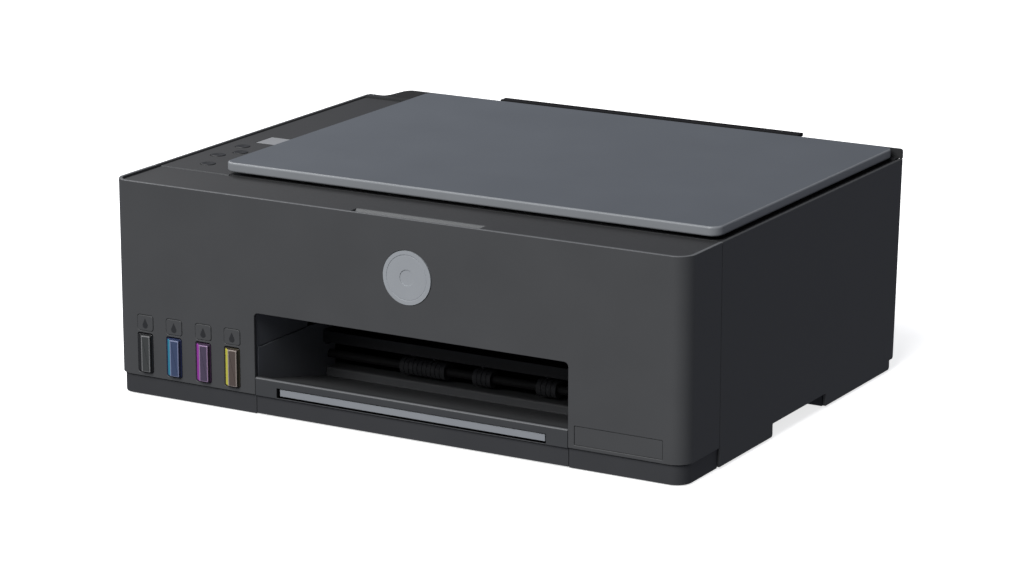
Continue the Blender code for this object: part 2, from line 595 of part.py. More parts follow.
def make_tanks():
    """Four ink tanks, each with a window bump in front and a hinged cap on its filler neck."""
    colours = {"black": (0.02, 0.02, 0.022), "cyan": (0.02, 0.16, 0.4), "magenta": (0.3, 0.03, 0.3),
               "yellow": (0.55, 0.45, 0.05)}
    for name, x in TANK_X.items():
        half = TANK_WIDTH / 2
        tank = box_part(f"ink_tank_{name}", material(f"ink_{name}", colours[name], 0.2),
                        (x - half, 4.8, 3.4), (x + half, 62.0, TANK_TOP_Z))
        bump = bmesh.new()
        grow = WINDOW_WIDTH / 2
        low = add_prism(bump, "y", rounded_rectangle((x - grow, WINDOW_LOW), (x + grow, WINDOW_HIGH), 1.2, 2),
                        7.0, FRONT_MOST)
        middle = Vector((x, 0.0, (WINDOW_LOW + WINDOW_HIGH) / 2))
        bmesh.ops.scale(bump, vec=(0.84, 1.0, 0.92), verts=low, space=Matrix.Translation(-middle))
        boolean(tank, bump, "UNION")
        neck = bmesh.new()
        add_cylinder(neck, "z", (x, 22.0, 76.5), 6.5, 6.0, 16)
        boolean(tank, neck, "UNION")
        mouth = bmesh.new()
        add_cylinder(mouth, "z", (x, 22.0, 74.0), 4.0, 14.0, 12)
        boolean(tank, mouth, "DIFFERENCE")
        fuse(tank, ((x - 9.5, 33.0, 73.0), (x - 6.0, 37.5, 86.0)),
             ((x + 6.0, 33.0, 73.0), (x + 9.5, 37.5, 86.0)))
        bore = bmesh.new()
        add_cylinder(bore, "x", (x, CAP_PIVOT_Y, CAP_PIVOT_Z), 1.1, 30.0, 10)
        boolean(tank, bore, "DIFFERENCE")
        cap = box_part(f"tank_cap_{name}", material(f"cap_{name}", colours[name], 0.5),
                       (x - 8.5, 11.0, 80.0), (x + 8.5, 31.5, 86.0), (x, CAP_PIVOT_Y, CAP_PIVOT_Z))
        fuse(cap, ((x - 5.5, 30.0, 81.5), (x + 5.5, 36.5, 86.0)))
        pin = bmesh.new()
        add_cylinder(pin, "x", (x, CAP_PIVOT_Y, CAP_PIVOT_Z), 1.0, 18.0, 10)
        boolean(cap, pin, "UNION")


def make_ink_tubes():
    """Four thin tubes from the tanks' backs up to the clamp that joins them by the carriage's path."""
    look = material("tube_silicone", (0.25, 0.26, 0.27), 0.4)
    meshes = []
    for index, x in enumerate(TANK_X.values()):
        end_x = -142.0 + 6.0 * index
        knots = [Vector(place(*point)) for point in
                 ((x + 3.0, 62.5, 22.0), (x + 3.0, 70.0, 22.0), (x + 3.0, 74.0, 40.0), (x + 3.0, 76.0, 70.0),
                  ((x + end_x) / 2, 80.0, 95.0), (end_x, 88.0, 106.0), (end_x, 97.0, 108.0))]
        curve = bpy.data.curves.new(f"tube_{index}", "CURVE")
        curve.dimensions = "3D"
        curve.bevel_depth = 1.4 * MM
        curve.bevel_resolution = 2
        curve.use_fill_caps = True
        spline = curve.splines.new("POLY")
        points = [smooth_point(knots, i / 16) for i in range(17)]
        spline.points.add(len(points) - 1)
        for target, point in zip(spline.points, points):
            target.co = (*point, 1.0)
        carrier = bpy.data.objects.new(curve.name, curve)
        parts.objects.link(carrier)
        bpy.context.view_layer.update()
        evaluated = carrier.evaluated_get(bpy.context.evaluated_depsgraph_get())
        meshes.append(bpy.data.meshes.new_from_object(evaluated))
        bpy.data.objects.remove(carrier)
    bm = bmesh.new()
    for mesh in meshes:
        bm.from_mesh(mesh)
    bmesh.ops.remove_doubles(bm, verts=bm.verts, dist=0.00002)
    mesh = bpy.data.meshes.new("ink_tubes")
    bm.to_mesh(mesh)
    bm.free()
    mesh.materials.clear()
    mesh.materials.append(look)
    tubes = bpy.data.objects.new("ink_tubes", mesh)
    parts.objects.link(tubes)
    fuse(tubes, ((-146.0, 90.0, 105.0), (-120.0, 94.0, 111.0)))


def smooth_point(knots, share):
    """A point on the smooth curve through some knots, at a share of its way."""
    place_on = share * (len(knots) - 1)
    index = min(int(place_on), len(knots) - 2)
    t = place_on - index
    before = knots[max(index - 1, 0)]
    start, end = knots[index], knots[index + 1]
    after = knots[min(index + 2, len(knots) - 1)]
    return 0.5 * (2 * start + (end - before) * t + (2 * before - 5 * start + 4 * end - after) * t ** 2
                  + (3 * start - before - 3 * end + after) * t ** 3)


def floor_z(y):
    """Height of the tray's sloping floor at a depth."""
    return FLOOR_FRONT_Z - TRAY_FALL * y


def make_output_tray():
    """Output mouth: front plate with the extender's slot, falling floor, step, shelf and side walls."""
    left, right = MOUTH_LEFT + GAP, MOUTH_RIGHT - GAP
    profile = [(0.0, 13.1), (0.0, TRAY_LIP_Z), (3.5, TRAY_LIP_Z), (8.0, floor_z(8.0)),
               (SHELF_Y, floor_z(SHELF_Y)),
               (SHELF_Y + 0.8, SHELF_Z - 1.5), (SHELF_Y + 3.0, SHELF_Z), (SHELF_REAR_Y, SHELF_Z),
               (SHELF_REAR_Y, SHELF_Z - TRAY_SHEET), (SHELF_Y + 4.0, SHELF_Z - TRAY_SHEET),
               (SHELF_Y + 2.5, floor_z(SHELF_Y) - TRAY_SHEET), (SHELF_Y, floor_z(SHELF_Y) - TRAY_SHEET),
               (8.0, floor_z(8.0) - TRAY_SHEET), (3.0, floor_z(3.0) - TRAY_SHEET), (3.0, 0.4), (1.5, 0.4),
               (1.5, 13.1)]
    tray = prism_part("output_tray", material("mouth_plastic", (0.05, 0.053, 0.056), 0.5),
                      "x", profile, left, right)
    outer_walls = bmesh.new()
    wall = [(4.8, 3.6), (WALL_REAR_Y, 3.6), (WALL_REAR_Y, WALL_SEAM_Z), (66.0, WALL_SEAM_Z), (66.0, 69.5),
            (4.8, 69.5)]
    add_prism(outer_walls, "x", wall, MOUTH_LEFT - 2.6, MOUTH_LEFT - 0.2)
    add_prism(outer_walls, "x", wall, MOUTH_RIGHT + 0.2, MOUTH_RIGHT + 2.6)
    boolean(tray, outer_walls, "UNION")
    links = bmesh.new()
    link = [(5.5, floor_z(5.5) - 1.5), (SHELF_Y - 0.5, floor_z(SHELF_Y) - 1.5),
            (SHELF_Y - 0.5, floor_z(SHELF_Y) - 0.3), (5.5, floor_z(5.5) - 0.3)]
    add_prism(links, "x", link, MOUTH_LEFT - 0.8, left + 0.5)
    add_prism(links, "x", link, right - 0.5, MOUTH_RIGHT + 0.8)
    boolean(tray, links, "UNION")
    for edge, inward in ((SLOT_LEFT, 1), (SLOT_RIGHT, -1)):
        rail = bmesh.new()
        web = sorted((edge - 1.2 * inward, edge + 0.2 * inward))
        lip = sorted((edge - 1.2 * inward, edge + 4.0 * inward))
        add_prism(rail, "x", [(6.0, floor_z(6.0) - 8.6), (45.0, floor_z(45.0) - 8.6),
                              (45.0, floor_z(45.0) - 1.0), (6.0, floor_z(6.0) - 1.0)], *web)
        boolean(tray, rail, "UNION")
        rail = bmesh.new()
        add_prism(rail, "x", [(6.0, floor_z(6.0) - 8.6), (45.0, floor_z(45.0) - 8.6),
                              (45.0, floor_z(45.0) - 7.3), (6.0, floor_z(6.0) - 7.3)], *lip)
        boolean(tray, rail, "UNION")
    slot = bmesh.new()
    add_prism(slot, "x", [(-1.0, SLOT_LOW + TRAY_FALL), (4.0, SLOT_LOW - 4.0 * TRAY_FALL),
                          (4.0, SLOT_HIGH - 4.0 * TRAY_FALL), (-1.0, SLOT_HIGH + TRAY_FALL)],
              SLOT_LEFT, SLOT_RIGHT)
    boolean(tray, slot, "DIFFERENCE")
    shaft_y, shaft_z = OUTPUT_AXIS
    notch_low = (shaft_y - 3.6, shaft_z - 3.6)
    notch_high = (WALL_REAR_Y + 1.0, shaft_z + 3.6)
    cut(tray, ((MOUTH_LEFT - 3.0, *notch_low), (MOUTH_LEFT + 0.2, *notch_high)),
        ((MOUTH_RIGHT - 0.2, *notch_low), (MOUTH_RIGHT + 3.0, *notch_high)))
    bores = bmesh.new()
    for x in (MOUTH_LEFT, MOUTH_RIGHT):
        add_cylinder(bores, "x", (x, *DOOR_PIVOT[1:]), 0.95, 5.0, 10)
    boolean(tray, bores, "DIFFERENCE")


def make_tray_extender():
    """Pull-out plate that slides along the floor's slope, with the bright front bar that closes the slot."""
    def along(y, front_z):
        return (y, front_z - TRAY_FALL * (y - EXTENDER_FRONT_Y))
    high, low = SLOT_HIGH - 0.5, SLOT_LOW + 0.5
    outline = [along(EXTENDER_FRONT_Y, low), along(5.0, low), along(5.0, high - TRAY_SHEET),
               along(EXTENDER_REAR_Y, high - TRAY_SHEET), along(EXTENDER_REAR_Y, high),
               along(EXTENDER_FRONT_Y, high)]
    prism_part("tray_extender", material("extender_plastic", (0.26, 0.28, 0.3), 0.4), "x", outline,
               SLOT_LEFT + 0.5, SLOT_RIGHT - 0.5, (MOUTH_CENTRE_X, EXTENDER_FRONT_Y, low))


def make_star_wheels():
    """Toothed wheels that hold the sheet down on the output roller, and the bar above them."""
    wheels = bmesh.new()
    xs = (-36.0, -19.0, 19.0, 68.5)
    profile = [(0.0, -103.4)]
    for x in xs:
        profile += [(1.5, x - 0.6), (4.8, x - 0.4), (4.8, x + 0.4), (1.5, x + 0.6)]
    profile = [(0.0, -103.4), (1.5, -103.4)] + profile[1:] + [(1.5, 132.6), (0.0, 132.6)]
    add_turned(wheels, "x", (0.0, *STAR_AXIS), profile, 16)
    make("star_wheels", wheels, material("wheel_steel", (0.45, 0.45, 0.46), 0.35, 0.9), (0.0, *STAR_AXIS))
    section = [(83.0, 30.2), (84.5, 30.2), (84.5, 36.6), (98.5, 36.6), (98.5, 38.2), (83.0, 38.2)]
    bar = prism_part("star_wheel_bar", material("bar_plastic", (0.03, 0.031, 0.033), 0.5),
                     "x", section, MOUTH_LEFT + 0.4, MOUTH_RIGHT - 0.4)
    for x in (-102.0, 131.0):
        fuse(bar, ((x - 1.2, 84.0, 28.5), (x + 1.2, 96.0, 37.5)))
    bore = bmesh.new()
    add_cylinder(bore, "x", (MOUTH_CENTRE_X, *STAR_AXIS), 1.6, 260.0, 16)
    boolean(bar, bore, "DIFFERENCE")


def gear_outline(teeth, phase):
    """Points of a spur gear with straight flanks, turned by a phase in tooth pitches."""
    pitch_radius = GEAR_MODULE * teeth / 2
    tip, root = pitch_radius + 0.8 * GEAR_MODULE, pitch_radius - 1.1 * GEAR_MODULE
    points = []
    for tooth in range(teeth):
        for share, radius in ((-0.34, root), (-0.11, tip), (0.11, tip), (0.34, root)):
            angle = 2 * math.pi * (tooth + phase + share) / teeth
            points.append((radius * math.cos(angle), radius * math.sin(angle)))
    return points


def make_gear(name, teeth, axis, phase, bore_radius):
    """A gear in the train's plane at the printer's left end."""
    bm = bmesh.new()
    outline = [(axis[0] + y, axis[1] + z) for y, z in gear_outline(teeth, phase)]
    add_prism(bm, "x", outline, GEAR_LEFT, GEAR_LEFT + GEAR_WIDTH)
    gear = make(name, bm, material("gear_plastic", (0.75, 0.74, 0.7), 0.5), (GEAR_LEFT, *axis))
    bore = bmesh.new()
    add_cylinder(bore, "x", (GEAR_LEFT, *axis), bore_radius, 20.0, 16)
    boolean(gear, bore, "DIFFERENCE")


def idler_axis():
    """Axis of the idler that meshes with both the feed gear and the output gear, above them."""
    reach_start = GEAR_MODULE * (OUTPUT_TEETH + IDLER_TEETH) / 2
    reach_end = GEAR_MODULE * (FEED_TEETH + IDLER_TEETH) / 2
    start, end = Vector(OUTPUT_AXIS), Vector(FEED_AXIS)
    run = end - start
    share = (reach_start ** 2 - reach_end ** 2 + run.length ** 2) / (2 * run.length)
    rise = math.sqrt(reach_start ** 2 - share ** 2)
    side = Vector((-run.y, run.x)).normalized()
    return tuple(start + run.normalized() * share + side * rise)


def pinion_axis():
    """Axis of the motor's pinion, which meshes with the idler near its top."""
    reach = GEAR_MODULE * (PINION_TEETH + IDLER_TEETH) / 2
    angle = math.radians(75.0)
    y, z = idler_axis()
    return (y + reach * math.cos(angle), z + reach * math.sin(angle))


def mesh_phase(teeth, axis, other_teeth, other_axis, other_phase):
    """Phase that puts a gear's tooth space on the other gear's tooth, where the two meet."""
    towards = math.atan2(other_axis[1] - axis[1], other_axis[0] - axis[0])
    back = towards + math.pi
    other_share = back * other_teeth / (2 * math.pi) - other_phase
    offset = other_share - round(other_share)
    return (towards * teeth / (2 * math.pi) + 0.5 + offset) % 1.0


def make_paper_drive():
    """Feed and output rollers, their gears, the idler, the pinion and the pick roller."""
    steel = material("roller_steel", (0.5, 0.5, 0.52), 0.35, 1.0)
    rubber = material("roller_rubber", (0.12, 0.12, 0.125), 0.7)
    feed = bmesh.new()
    add_turned(feed, "x", (0.0, *FEED_AXIS), [(0.0, -208.0), (3.0, -208.0), (3.0, -100.0), (7.0, -100.0),
                                             (7.0, 130.0), (3.0, 130.0), (3.0, 208.0), (0.0, 208.0)], 16)
    make("feed_roller", feed, steel, (0.0, *FEED_AXIS))
    profile = [(0.0, -208.0), (3.0, -208.0)]
    for low, high in OUTPUT_ROLLS:
        profile += [(3.0, low), (6.0, low), (6.0, high), (3.0, high)]
    profile += [(3.0, 136.0), (0.0, 136.0)]
    output = bmesh.new()
    add_turned(output, "x", (0.0, *OUTPUT_AXIS), profile, 16)
    make("output_roller", output, rubber, (0.0, *OUTPUT_AXIS))
    profile = [(0.0, -199.0), (12.0, -199.0), (12.0, -194.0), (3.0, -194.0), (3.0, -2.0), (12.0, -2.0),
               (12.0, 10.0), (3.0, 10.0), (3.0, 20.0), (12.0, 20.0), (12.0, 32.0), (3.0, 32.0),
               (3.0, 151.0), (0.0, 151.0)]
    pick = bmesh.new()
    add_turned(pick, "x", (0.0, *PICK_AXIS), profile, 16)
    make("pick_roller", pick, rubber, (0.0, *PICK_AXIS))
    idler, pinion = idler_axis(), pinion_axis()
    make_gear("idler_gear", IDLER_TEETH, idler, 0.0, 3.1)
    for name, teeth, axis, bore_radius in (("feed_gear", FEED_TEETH, FEED_AXIS, 3.1),
                                           ("output_gear", OUTPUT_TEETH, OUTPUT_AXIS, 3.1),
                                           ("motor_pinion", PINION_TEETH, pinion, 1.3)):
        make_gear(name, teeth, axis, mesh_phase(teeth, axis, IDLER_TEETH, idler, 0.0), bore_radius)


def make_chassis():
    """Sheet-metal frame: cross wall, side plates, guide rod and the gear train's stub axle."""
    steel = material("chassis_steel", (0.42, 0.43, 0.44), 0.45, 0.9)
    chassis = box_part("carriage_chassis", steel, (-205.5, 170.0, 44.0), (205.5, 171.5, 112.0))
    fuse(chassis, ((-206.5, 76.0, 12.2), (-205.0, 200.0, 112.0)), ((205.0, 76.0, 12.2), (206.5, 200.0, 112.0)),
         ((-205.5, 171.0, 110.5), (205.5, 186.0, 112.0)))
    rods = ((0.0, *ROD_AXIS, ROD_RADIUS, 411.0, "x"), (-199.0, *idler_axis(), 3.0, 13.0, "x"),
            (PULLEY_X[1], 166.0, BELT_Z, 2.0, 11.0, "y"))
    for x, y, z, radius, length, axis in rods:
        bm = bmesh.new()
        add_cylinder(bm, axis, (x, y, z), radius, length, 16)
        boolean(chassis, bm, "UNION")
    holes = bmesh.new()
    add_cylinder(holes, "x", (0.0, *FEED_AXIS), 3.1, 430.0, 16)
    add_cylinder(holes, "x", (-206.0, *OUTPUT_AXIS), 3.1, 8.0, 16)
    add_cylinder(holes, "y", (PULLEY_X[0], 171.0, BELT_Z), 3.0, 8.0, 16)
    boolean(chassis, holes, "DIFFERENCE")


def make_motors():
    """Carriage motor behind the cross wall and paper motor beside the gear train."""
    look = material("motor_steel", (0.45, 0.45, 0.46), 0.4, 0.9)
    shape = [(0.0, -13.0), (1.2, -13.0), (1.2, 0.0), (12.0, 0.0), (12.0, 25.0), (0.0, 25.0)]
    behind = bmesh.new()
    add_turned(behind, "y", (PULLEY_X[0], 173.0, BELT_Z), shape, 16)
    make("carriage_motor", behind, look)
    beside = bmesh.new()
    add_turned(beside, "x", (-189.0, *pinion_axis()), shape, 16)
    make("paper_motor", beside, look)


def make_belt():
    """Timing belt loop round two pulleys in front of the cross wall."""
    for name, x, bore_radius in (("motor_pulley", PULLEY_X[0], 1.3), ("idler_pulley", PULLEY_X[1], 2.1)):
        centre = (x, BELT_FRONT_Y + BELT_WIDTH / 2, BELT_Z)
        bm = bmesh.new()
        add_cylinder(bm, "y", centre, PULLEY_RADIUS, BELT_WIDTH, 20)
        pulley = make(name, bm, material("pulley_plastic", (0.6, 0.6, 0.58), 0.5), centre)
        bore = bmesh.new()
        add_cylinder(bore, "y", centre, bore_radius, 20.0, 16)
        boolean(pulley, bore, "DIFFERENCE")
    low, high = BELT_FRONT_Y + 0.3, BELT_FRONT_Y + BELT_WIDTH - 0.3
    loops = []
    for radius in (PULLEY_RADIUS + 1.2, PULLEY_RADIUS + 0.2):
        loops.append(arc((PULLEY_X[1], BELT_Z), radius, -90, 90, 8)
                     + arc((PULLEY_X[0], BELT_Z), radius, 90, 270, 8))
    rubber = material("belt_rubber", (0.015, 0.015, 0.015), 0.8)
    belt = prism_part("drive_belt", rubber, "y", loops[0], low, high)
    hollow = bmesh.new()
    add_prism(hollow, "y", loops[1], low - 2.0, high + 2.0)
    boolean(belt, hollow, "DIFFERENCE")


def make_carriage():
    """Print carriage on the guide rod, its printhead unit and the latch over it."""
    x, half = CARRIAGE_X, CARRIAGE_HALF
    origin = (x, *ROD_AXIS)
    housing = box_part("carriage_housing", material("carriage_plastic", (0.04, 0.042, 0.045), 0.5),
                       (x - half, 100.0, 36.0), (x + half, 158.0, 84.0), origin)
    fuse(housing, ((x - half + 2, 157.0, 69.0), (x + half - 2, 168.5, 83.5)),
         ((x - 10, 152.0, 83.0), (x + 10, 165.5, 91.2)))
    cut(housing, ((x - 31.0, 104.0, 40.0), (x + 31.0, 150.0, 84.5)))
    cut(housing, ((x - 25.0, 112.0, 30.0), (x - 8.0, 142.0, 41.0)),
        ((x + 8.0, 112.0, 30.0), (x + 25.0, 142.0, 41.0)))
    bore = bmesh.new()
    add_cylinder(bore, "x", (x, *ROD_AXIS), ROD_RADIUS + 0.08, 100.0, 16)
    boolean(housing, bore, "DIFFERENCE")
    heads = box_part("printhead_unit", material("printhead_plastic", (0.1, 0.1, 0.11), 0.4),
                     (x - 30.6, 104.4, 40.3), (x + 30.6, 149.6, 80.0), origin)
    fuse(heads, ((x - 24.0, 113.0, 32.5), (x - 9.0, 141.0, 42.0)),
         ((x + 9.0, 113.0, 32.5), (x + 24.0, 141.0, 42.0)))
    cut(heads, ((x - 0.8, 100.0, 60.0), (x + 0.8, 160.0, 90.0)))
    latch = box_part("head_latch", material("latch_plastic", (0.03, 0.15, 0.4), 0.45),
                     (x - half + 2, 101.0, 84.4), (x + half - 2, 150.5, 87.4), (x, 150.0, 86.0))
    bevel(latch, 0.8)


def make_inner_parts():
    """Platen, service sled, power supply and circuit board."""
    outline = [(-100.0, 25.0), (-100.0, 27.5)]
    for index in range(12):
        start = -99.0 + 20.5 * index
        outline += [(start, 27.5), (start, 30.0), (start + 2.0, 30.0), (start + 2.0, 27.5)]
    outline += [(132.0, 27.5), (132.0, 25.0)]
    prism_part("platen", material("platen_plastic", (0.06, 0.062, 0.065), 0.5), "y", outline, 99.5, 166.0)
    sled = box_part("service_sled", material("sled_plastic", (0.5, 0.5, 0.5), 0.5),
                    (138.0, 96.0, 13.0), (194.0, 140.0, 26.0), (166.0, 96.0, 13.0))
    fuse(sled, ((141.0, 112.0, 25.0), (158.0, 138.0, 31.5)), ((172.0, 112.0, 25.0), (189.0, 138.0, 31.5)))
    supply = box_part("power_supply", material("supply_plastic", (0.02, 0.02, 0.022), 0.5),
                      (-200.0, 212.0, 3.5), (-128.0, 286.0, 44.0))
    bevel(supply, 2.0)
    board = box_part("circuit_board", material("board_green", (0.02, 0.12, 0.05), 0.4),
                     (60.0, 212.0, 10.0), (196.0, 292.0, 11.6))
    fuse(board, ((80.0, 230.0, 11.0), (100.0, 250.0, 13.6)), ((120.0, 225.0, 11.0), (132.0, 245.0, 13.0)),
         ((150.0, 255.0, 11.0), (170.0, 280.0, 16.0)), ((70.0, 280.0, 11.0), (110.0, 288.0, 19.0)))


def main():
    """Clear the scene and make every piece."""
    for old in list(bpy.data.objects):
        bpy.data.objects.remove(old)
    for collection in (parts, cutters):
        bpy.context.scene.collection.children.link(collection)
    make_base()
    make_side_cover(1)
    make_side_cover(-1)
    make_rear_cover()
    make_sockets()
    make_front_top_strip()
    make_scanner()
    make_control_panel()
    make_rear_feed_housing()
    make_paper_support()
    make_front_door()
    make_lid()
    make_tanks()
    make_ink_tubes()
    make_output_tray()
    make_tray_extender()
    make_star_wheels()
    make_paper_drive()
    make_chassis()
    make_motors()
    make_belt()
    make_carriage()
    make_inner_parts()


main()
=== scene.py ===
"""Looks of the tank inkjet printer: fine outer shells, ink windows, raised marks and materials.

Shapes are drawn in millimetres in the design frame: x to the right, y back from the front
panel's face and z up from the underside of the base. place() turns them into the frame.
"""
import json
import math

import bmesh
import bpy
from mathutils import Matrix, Vector


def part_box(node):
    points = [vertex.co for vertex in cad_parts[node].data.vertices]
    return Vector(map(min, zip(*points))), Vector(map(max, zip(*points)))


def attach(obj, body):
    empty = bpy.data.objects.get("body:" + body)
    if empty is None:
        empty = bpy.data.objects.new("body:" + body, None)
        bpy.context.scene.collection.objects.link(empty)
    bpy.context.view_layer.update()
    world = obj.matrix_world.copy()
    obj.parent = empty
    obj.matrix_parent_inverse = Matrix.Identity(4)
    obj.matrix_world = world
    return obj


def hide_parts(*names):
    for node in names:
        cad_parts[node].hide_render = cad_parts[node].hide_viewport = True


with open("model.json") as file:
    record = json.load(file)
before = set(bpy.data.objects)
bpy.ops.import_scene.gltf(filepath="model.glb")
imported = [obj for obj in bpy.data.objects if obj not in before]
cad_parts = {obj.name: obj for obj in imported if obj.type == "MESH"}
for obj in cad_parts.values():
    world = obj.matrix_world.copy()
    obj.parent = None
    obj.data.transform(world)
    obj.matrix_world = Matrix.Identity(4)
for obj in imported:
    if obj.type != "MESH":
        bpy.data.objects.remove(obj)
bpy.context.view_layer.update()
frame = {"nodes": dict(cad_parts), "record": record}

MM = 0.001
FRONT_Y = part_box("front_door")[0].y
BASE_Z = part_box("base_housing")[0].z + 1.0 * MM

# Driving dimensions, the same as the CAD's
HALF_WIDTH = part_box("front_door")[1].x / MM
WALL = 2.5
GAP = 0.3
CORNER_RADIUS = 12.0
INNER_HALF = HALF_WIDTH - WALL - 0.5
RIM_Z = 148.0
TOP_Z = 146.8
DOOR_BOTTOM_Z = 13.5
DOOR_WRAP_Y = 47.3
SIDE_FRONT_Y = 47.7
SIDE_BOTTOM_Z = 0.5
GRIP_FRONT_Y = 124.5
GRIP_REAR_Y = 205.0
GRIP_TOP_Z = 9.3
FOOT_X = 185.0
FOOT_Y = (25.0, 295.0)
SCREW_PLACES = [(x, y) for x in (-150.0, 0.0, 150.0) for y in (60.0, 290.0)]
REAR_STEP_Z = 7.0
REAR_STEP_Y = 308.0
REAR_FOOT_Y = 313.5
REAR_TOP_Y = 321.4
REAR_MOST = 358.5
EMBLEM = (14.9, 109.3)
EMBLEM_RADIUS = 18.0
MOUTH_LEFT = -104.4
MOUTH_RIGHT = 133.7
MOUTH_TOP = 69.7
TRAY_LIP_Z = 25.6
SLOT_LEFT = -87.4
SLOT_RIGHT = 117.6
SLOT_LOW = 13.7
SLOT_HIGH = 20.3
TRAY_FALL = 0.22
FLOOR_FRONT_Z = 24.5
TRAY_SHEET = 2.0
SHELF_Y = 86.0
SHELF_Z = 11.4
SHELF_REAR_Y = 100.0
WALL_REAR_Y = 99.0
WALL_SEAM_Z = 45.1
OUTPUT_AXIS = (92.0, 19.9)
OUTPUT_ROLLS = ((-45.0, -10.0), (12.0, 26.0), (61.0, 76.0))
TANK_X = {"black": -193.0, "cyan": -169.5, "magenta": -145.7, "yellow": -122.5}
TANK_WIDTH = 22.0
WINDOW_WIDTH = 11.0
WINDOW_LOW = 17.0
WINDOW_HIGH = 42.6
WINDOW_CORNER = 0.8
FILLER_Y = 22.0
FRONT_MOST = -3.0
NAME_PLATE_LOW = (138.45, 16.25)
NAME_PLATE_HIGH = (201.05, 28.45)
PANEL_RIGHT = -158.3
PANEL_REAR_Y = 313.8
STRIP_BACK_Y = 52.3
LID_LEFT = -161.3
LID_RIGHT = 212.4
LID_FRONT = 50.6
LID_REAR = 317.8
LID_LOW_Z = 149.3
LID_HIGH_Z = 156.0
LID_HINGE_X = (-150.0, 195.0)
DECK_FRONT_Y = 319.1
DECK_TOP_Z = 154.8
BUTTONS = {"power_button": (-189.8, 73.6), "cancel_button": (-199.3, 99.4),
           "copy_button": (-190.5, 114.0), "wireless_button": (-199.8, 130.3)}
BUTTON_RADIUS = 5.2
DISPLAY_LOW = (-199.0, 145.5)
DISPLAY_HIGH = (-182.0, 166.0)
HOPPER_LEFT = -122.0
HOPPER_RIGHT = 152.0
EXTENSION_LEFT = -86.0
EXTENSION_RIGHT = 116.0

# Camera, fitted to the object's edges
CAMERA_AT = (1209.915, -1932.208, 701.556)
CAMERA_TOWARDS = (-0.48394, 0.83711, -0.25503)
CAMERA_LENS = 128.37

# Soft studio light: where each lamp is and what it points at, its spread, size and power
AMBIENT = 0.16
KEY_TOWARDS = (-0.10, -0.72, 0.69)
KEY_SPREAD = 40.0
KEY_POWER = 3.1
FILL_AT = (-560.0, 170.0, 600.0)
FILL_SIZE = 0.4
FILL_POWER = 1.9
FILL_AIM = (0.0, 170.0, 150.0)
FLOOR_HALF = 9000.0
FLOOR_DEPTH = 50.0


def place(x, y, z):
    """A point of the design frame in the frame's metres."""
    return Vector((x * MM, FRONT_Y + y * MM, BASE_Z + z * MM))


def rear_y(z):
    """Depth of the leaning rear face at a height."""
    return REAR_FOOT_Y + (REAR_TOP_Y - REAR_FOOT_Y) * z / RIM_Z


def floor_z(y):
    """Height of the falling tray floor at a depth."""
    return FLOOR_FRONT_Z - TRAY_FALL * y


# ---------------------------------------------------------------- materials
looks = {}


def moulded(name, colour, roughness=0.5, grain=0.25, grain_size=0.35, metallic=0.0, mottle=0.08,
            transmission=0.0, coat=0.0, specular=0.5):
    """Moulded plastic, metal or rubber: fine grain in the bump, a cloudy colour and roughness."""
    if name in looks:
        return looks[name]
    made = bpy.data.materials.new(name)
    made.use_nodes = True
    nodes, links = made.node_tree.nodes, made.node_tree.links
    shader = nodes["Principled BSDF"]
    shader.inputs["Metallic"].default_value = metallic
    shader.inputs["Transmission Weight"].default_value = transmission
    shader.inputs["Coat Weight"].default_value = coat
    shader.inputs["Specular IOR Level"].default_value = specular
    shader.inputs["Coat Roughness"].default_value = 0.15
    where = nodes.new("ShaderNodeTexCoord")
    fine = nodes.new("ShaderNodeTexNoise")
    fine.inputs["Scale"].default_value = 1000.0 / grain_size
    fine.inputs["Detail"].default_value = 3.0
    broad = nodes.new("ShaderNodeTexNoise")
    broad.inputs["Scale"].default_value = 22.0
    broad.inputs["Detail"].default_value = 4.0
    links.new(where.outputs["Object"], fine.inputs["Vector"])
    links.new(where.outputs["Object"], broad.inputs["Vector"])
    tint = nodes.new("ShaderNodeMix")
    tint.data_type = "RGBA"
    tint.inputs["A"].default_value = (*[max(c * (1 - mottle), 0.0) for c in colour], 1.0)
    tint.inputs["B"].default_value = (*[min(c * (1 + mottle), 1.0) for c in colour], 1.0)
    links.new(broad.outputs["Fac"], tint.inputs["Factor"])
    links.new(tint.outputs["Result"], shader.inputs["Base Color"])
    rough = nodes.new("ShaderNodeMapRange")
    rough.inputs["To Min"].default_value = max(roughness - 0.05, 0.02)
    rough.inputs["To Max"].default_value = min(roughness + 0.05, 1.0)
    links.new(broad.outputs["Fac"], rough.inputs["Value"])
    links.new(rough.outputs["Result"], shader.inputs["Roughness"])
    bump = nodes.new("ShaderNodeBump")
    bump.inputs["Strength"].default_value = grain
    bump.inputs["Distance"].default_value = 0.00006
    links.new(fine.outputs["Fac"], bump.inputs["Height"])
    links.new(bump.outputs["Normal"], shader.inputs["Normal"])
    looks[name] = made
    return made


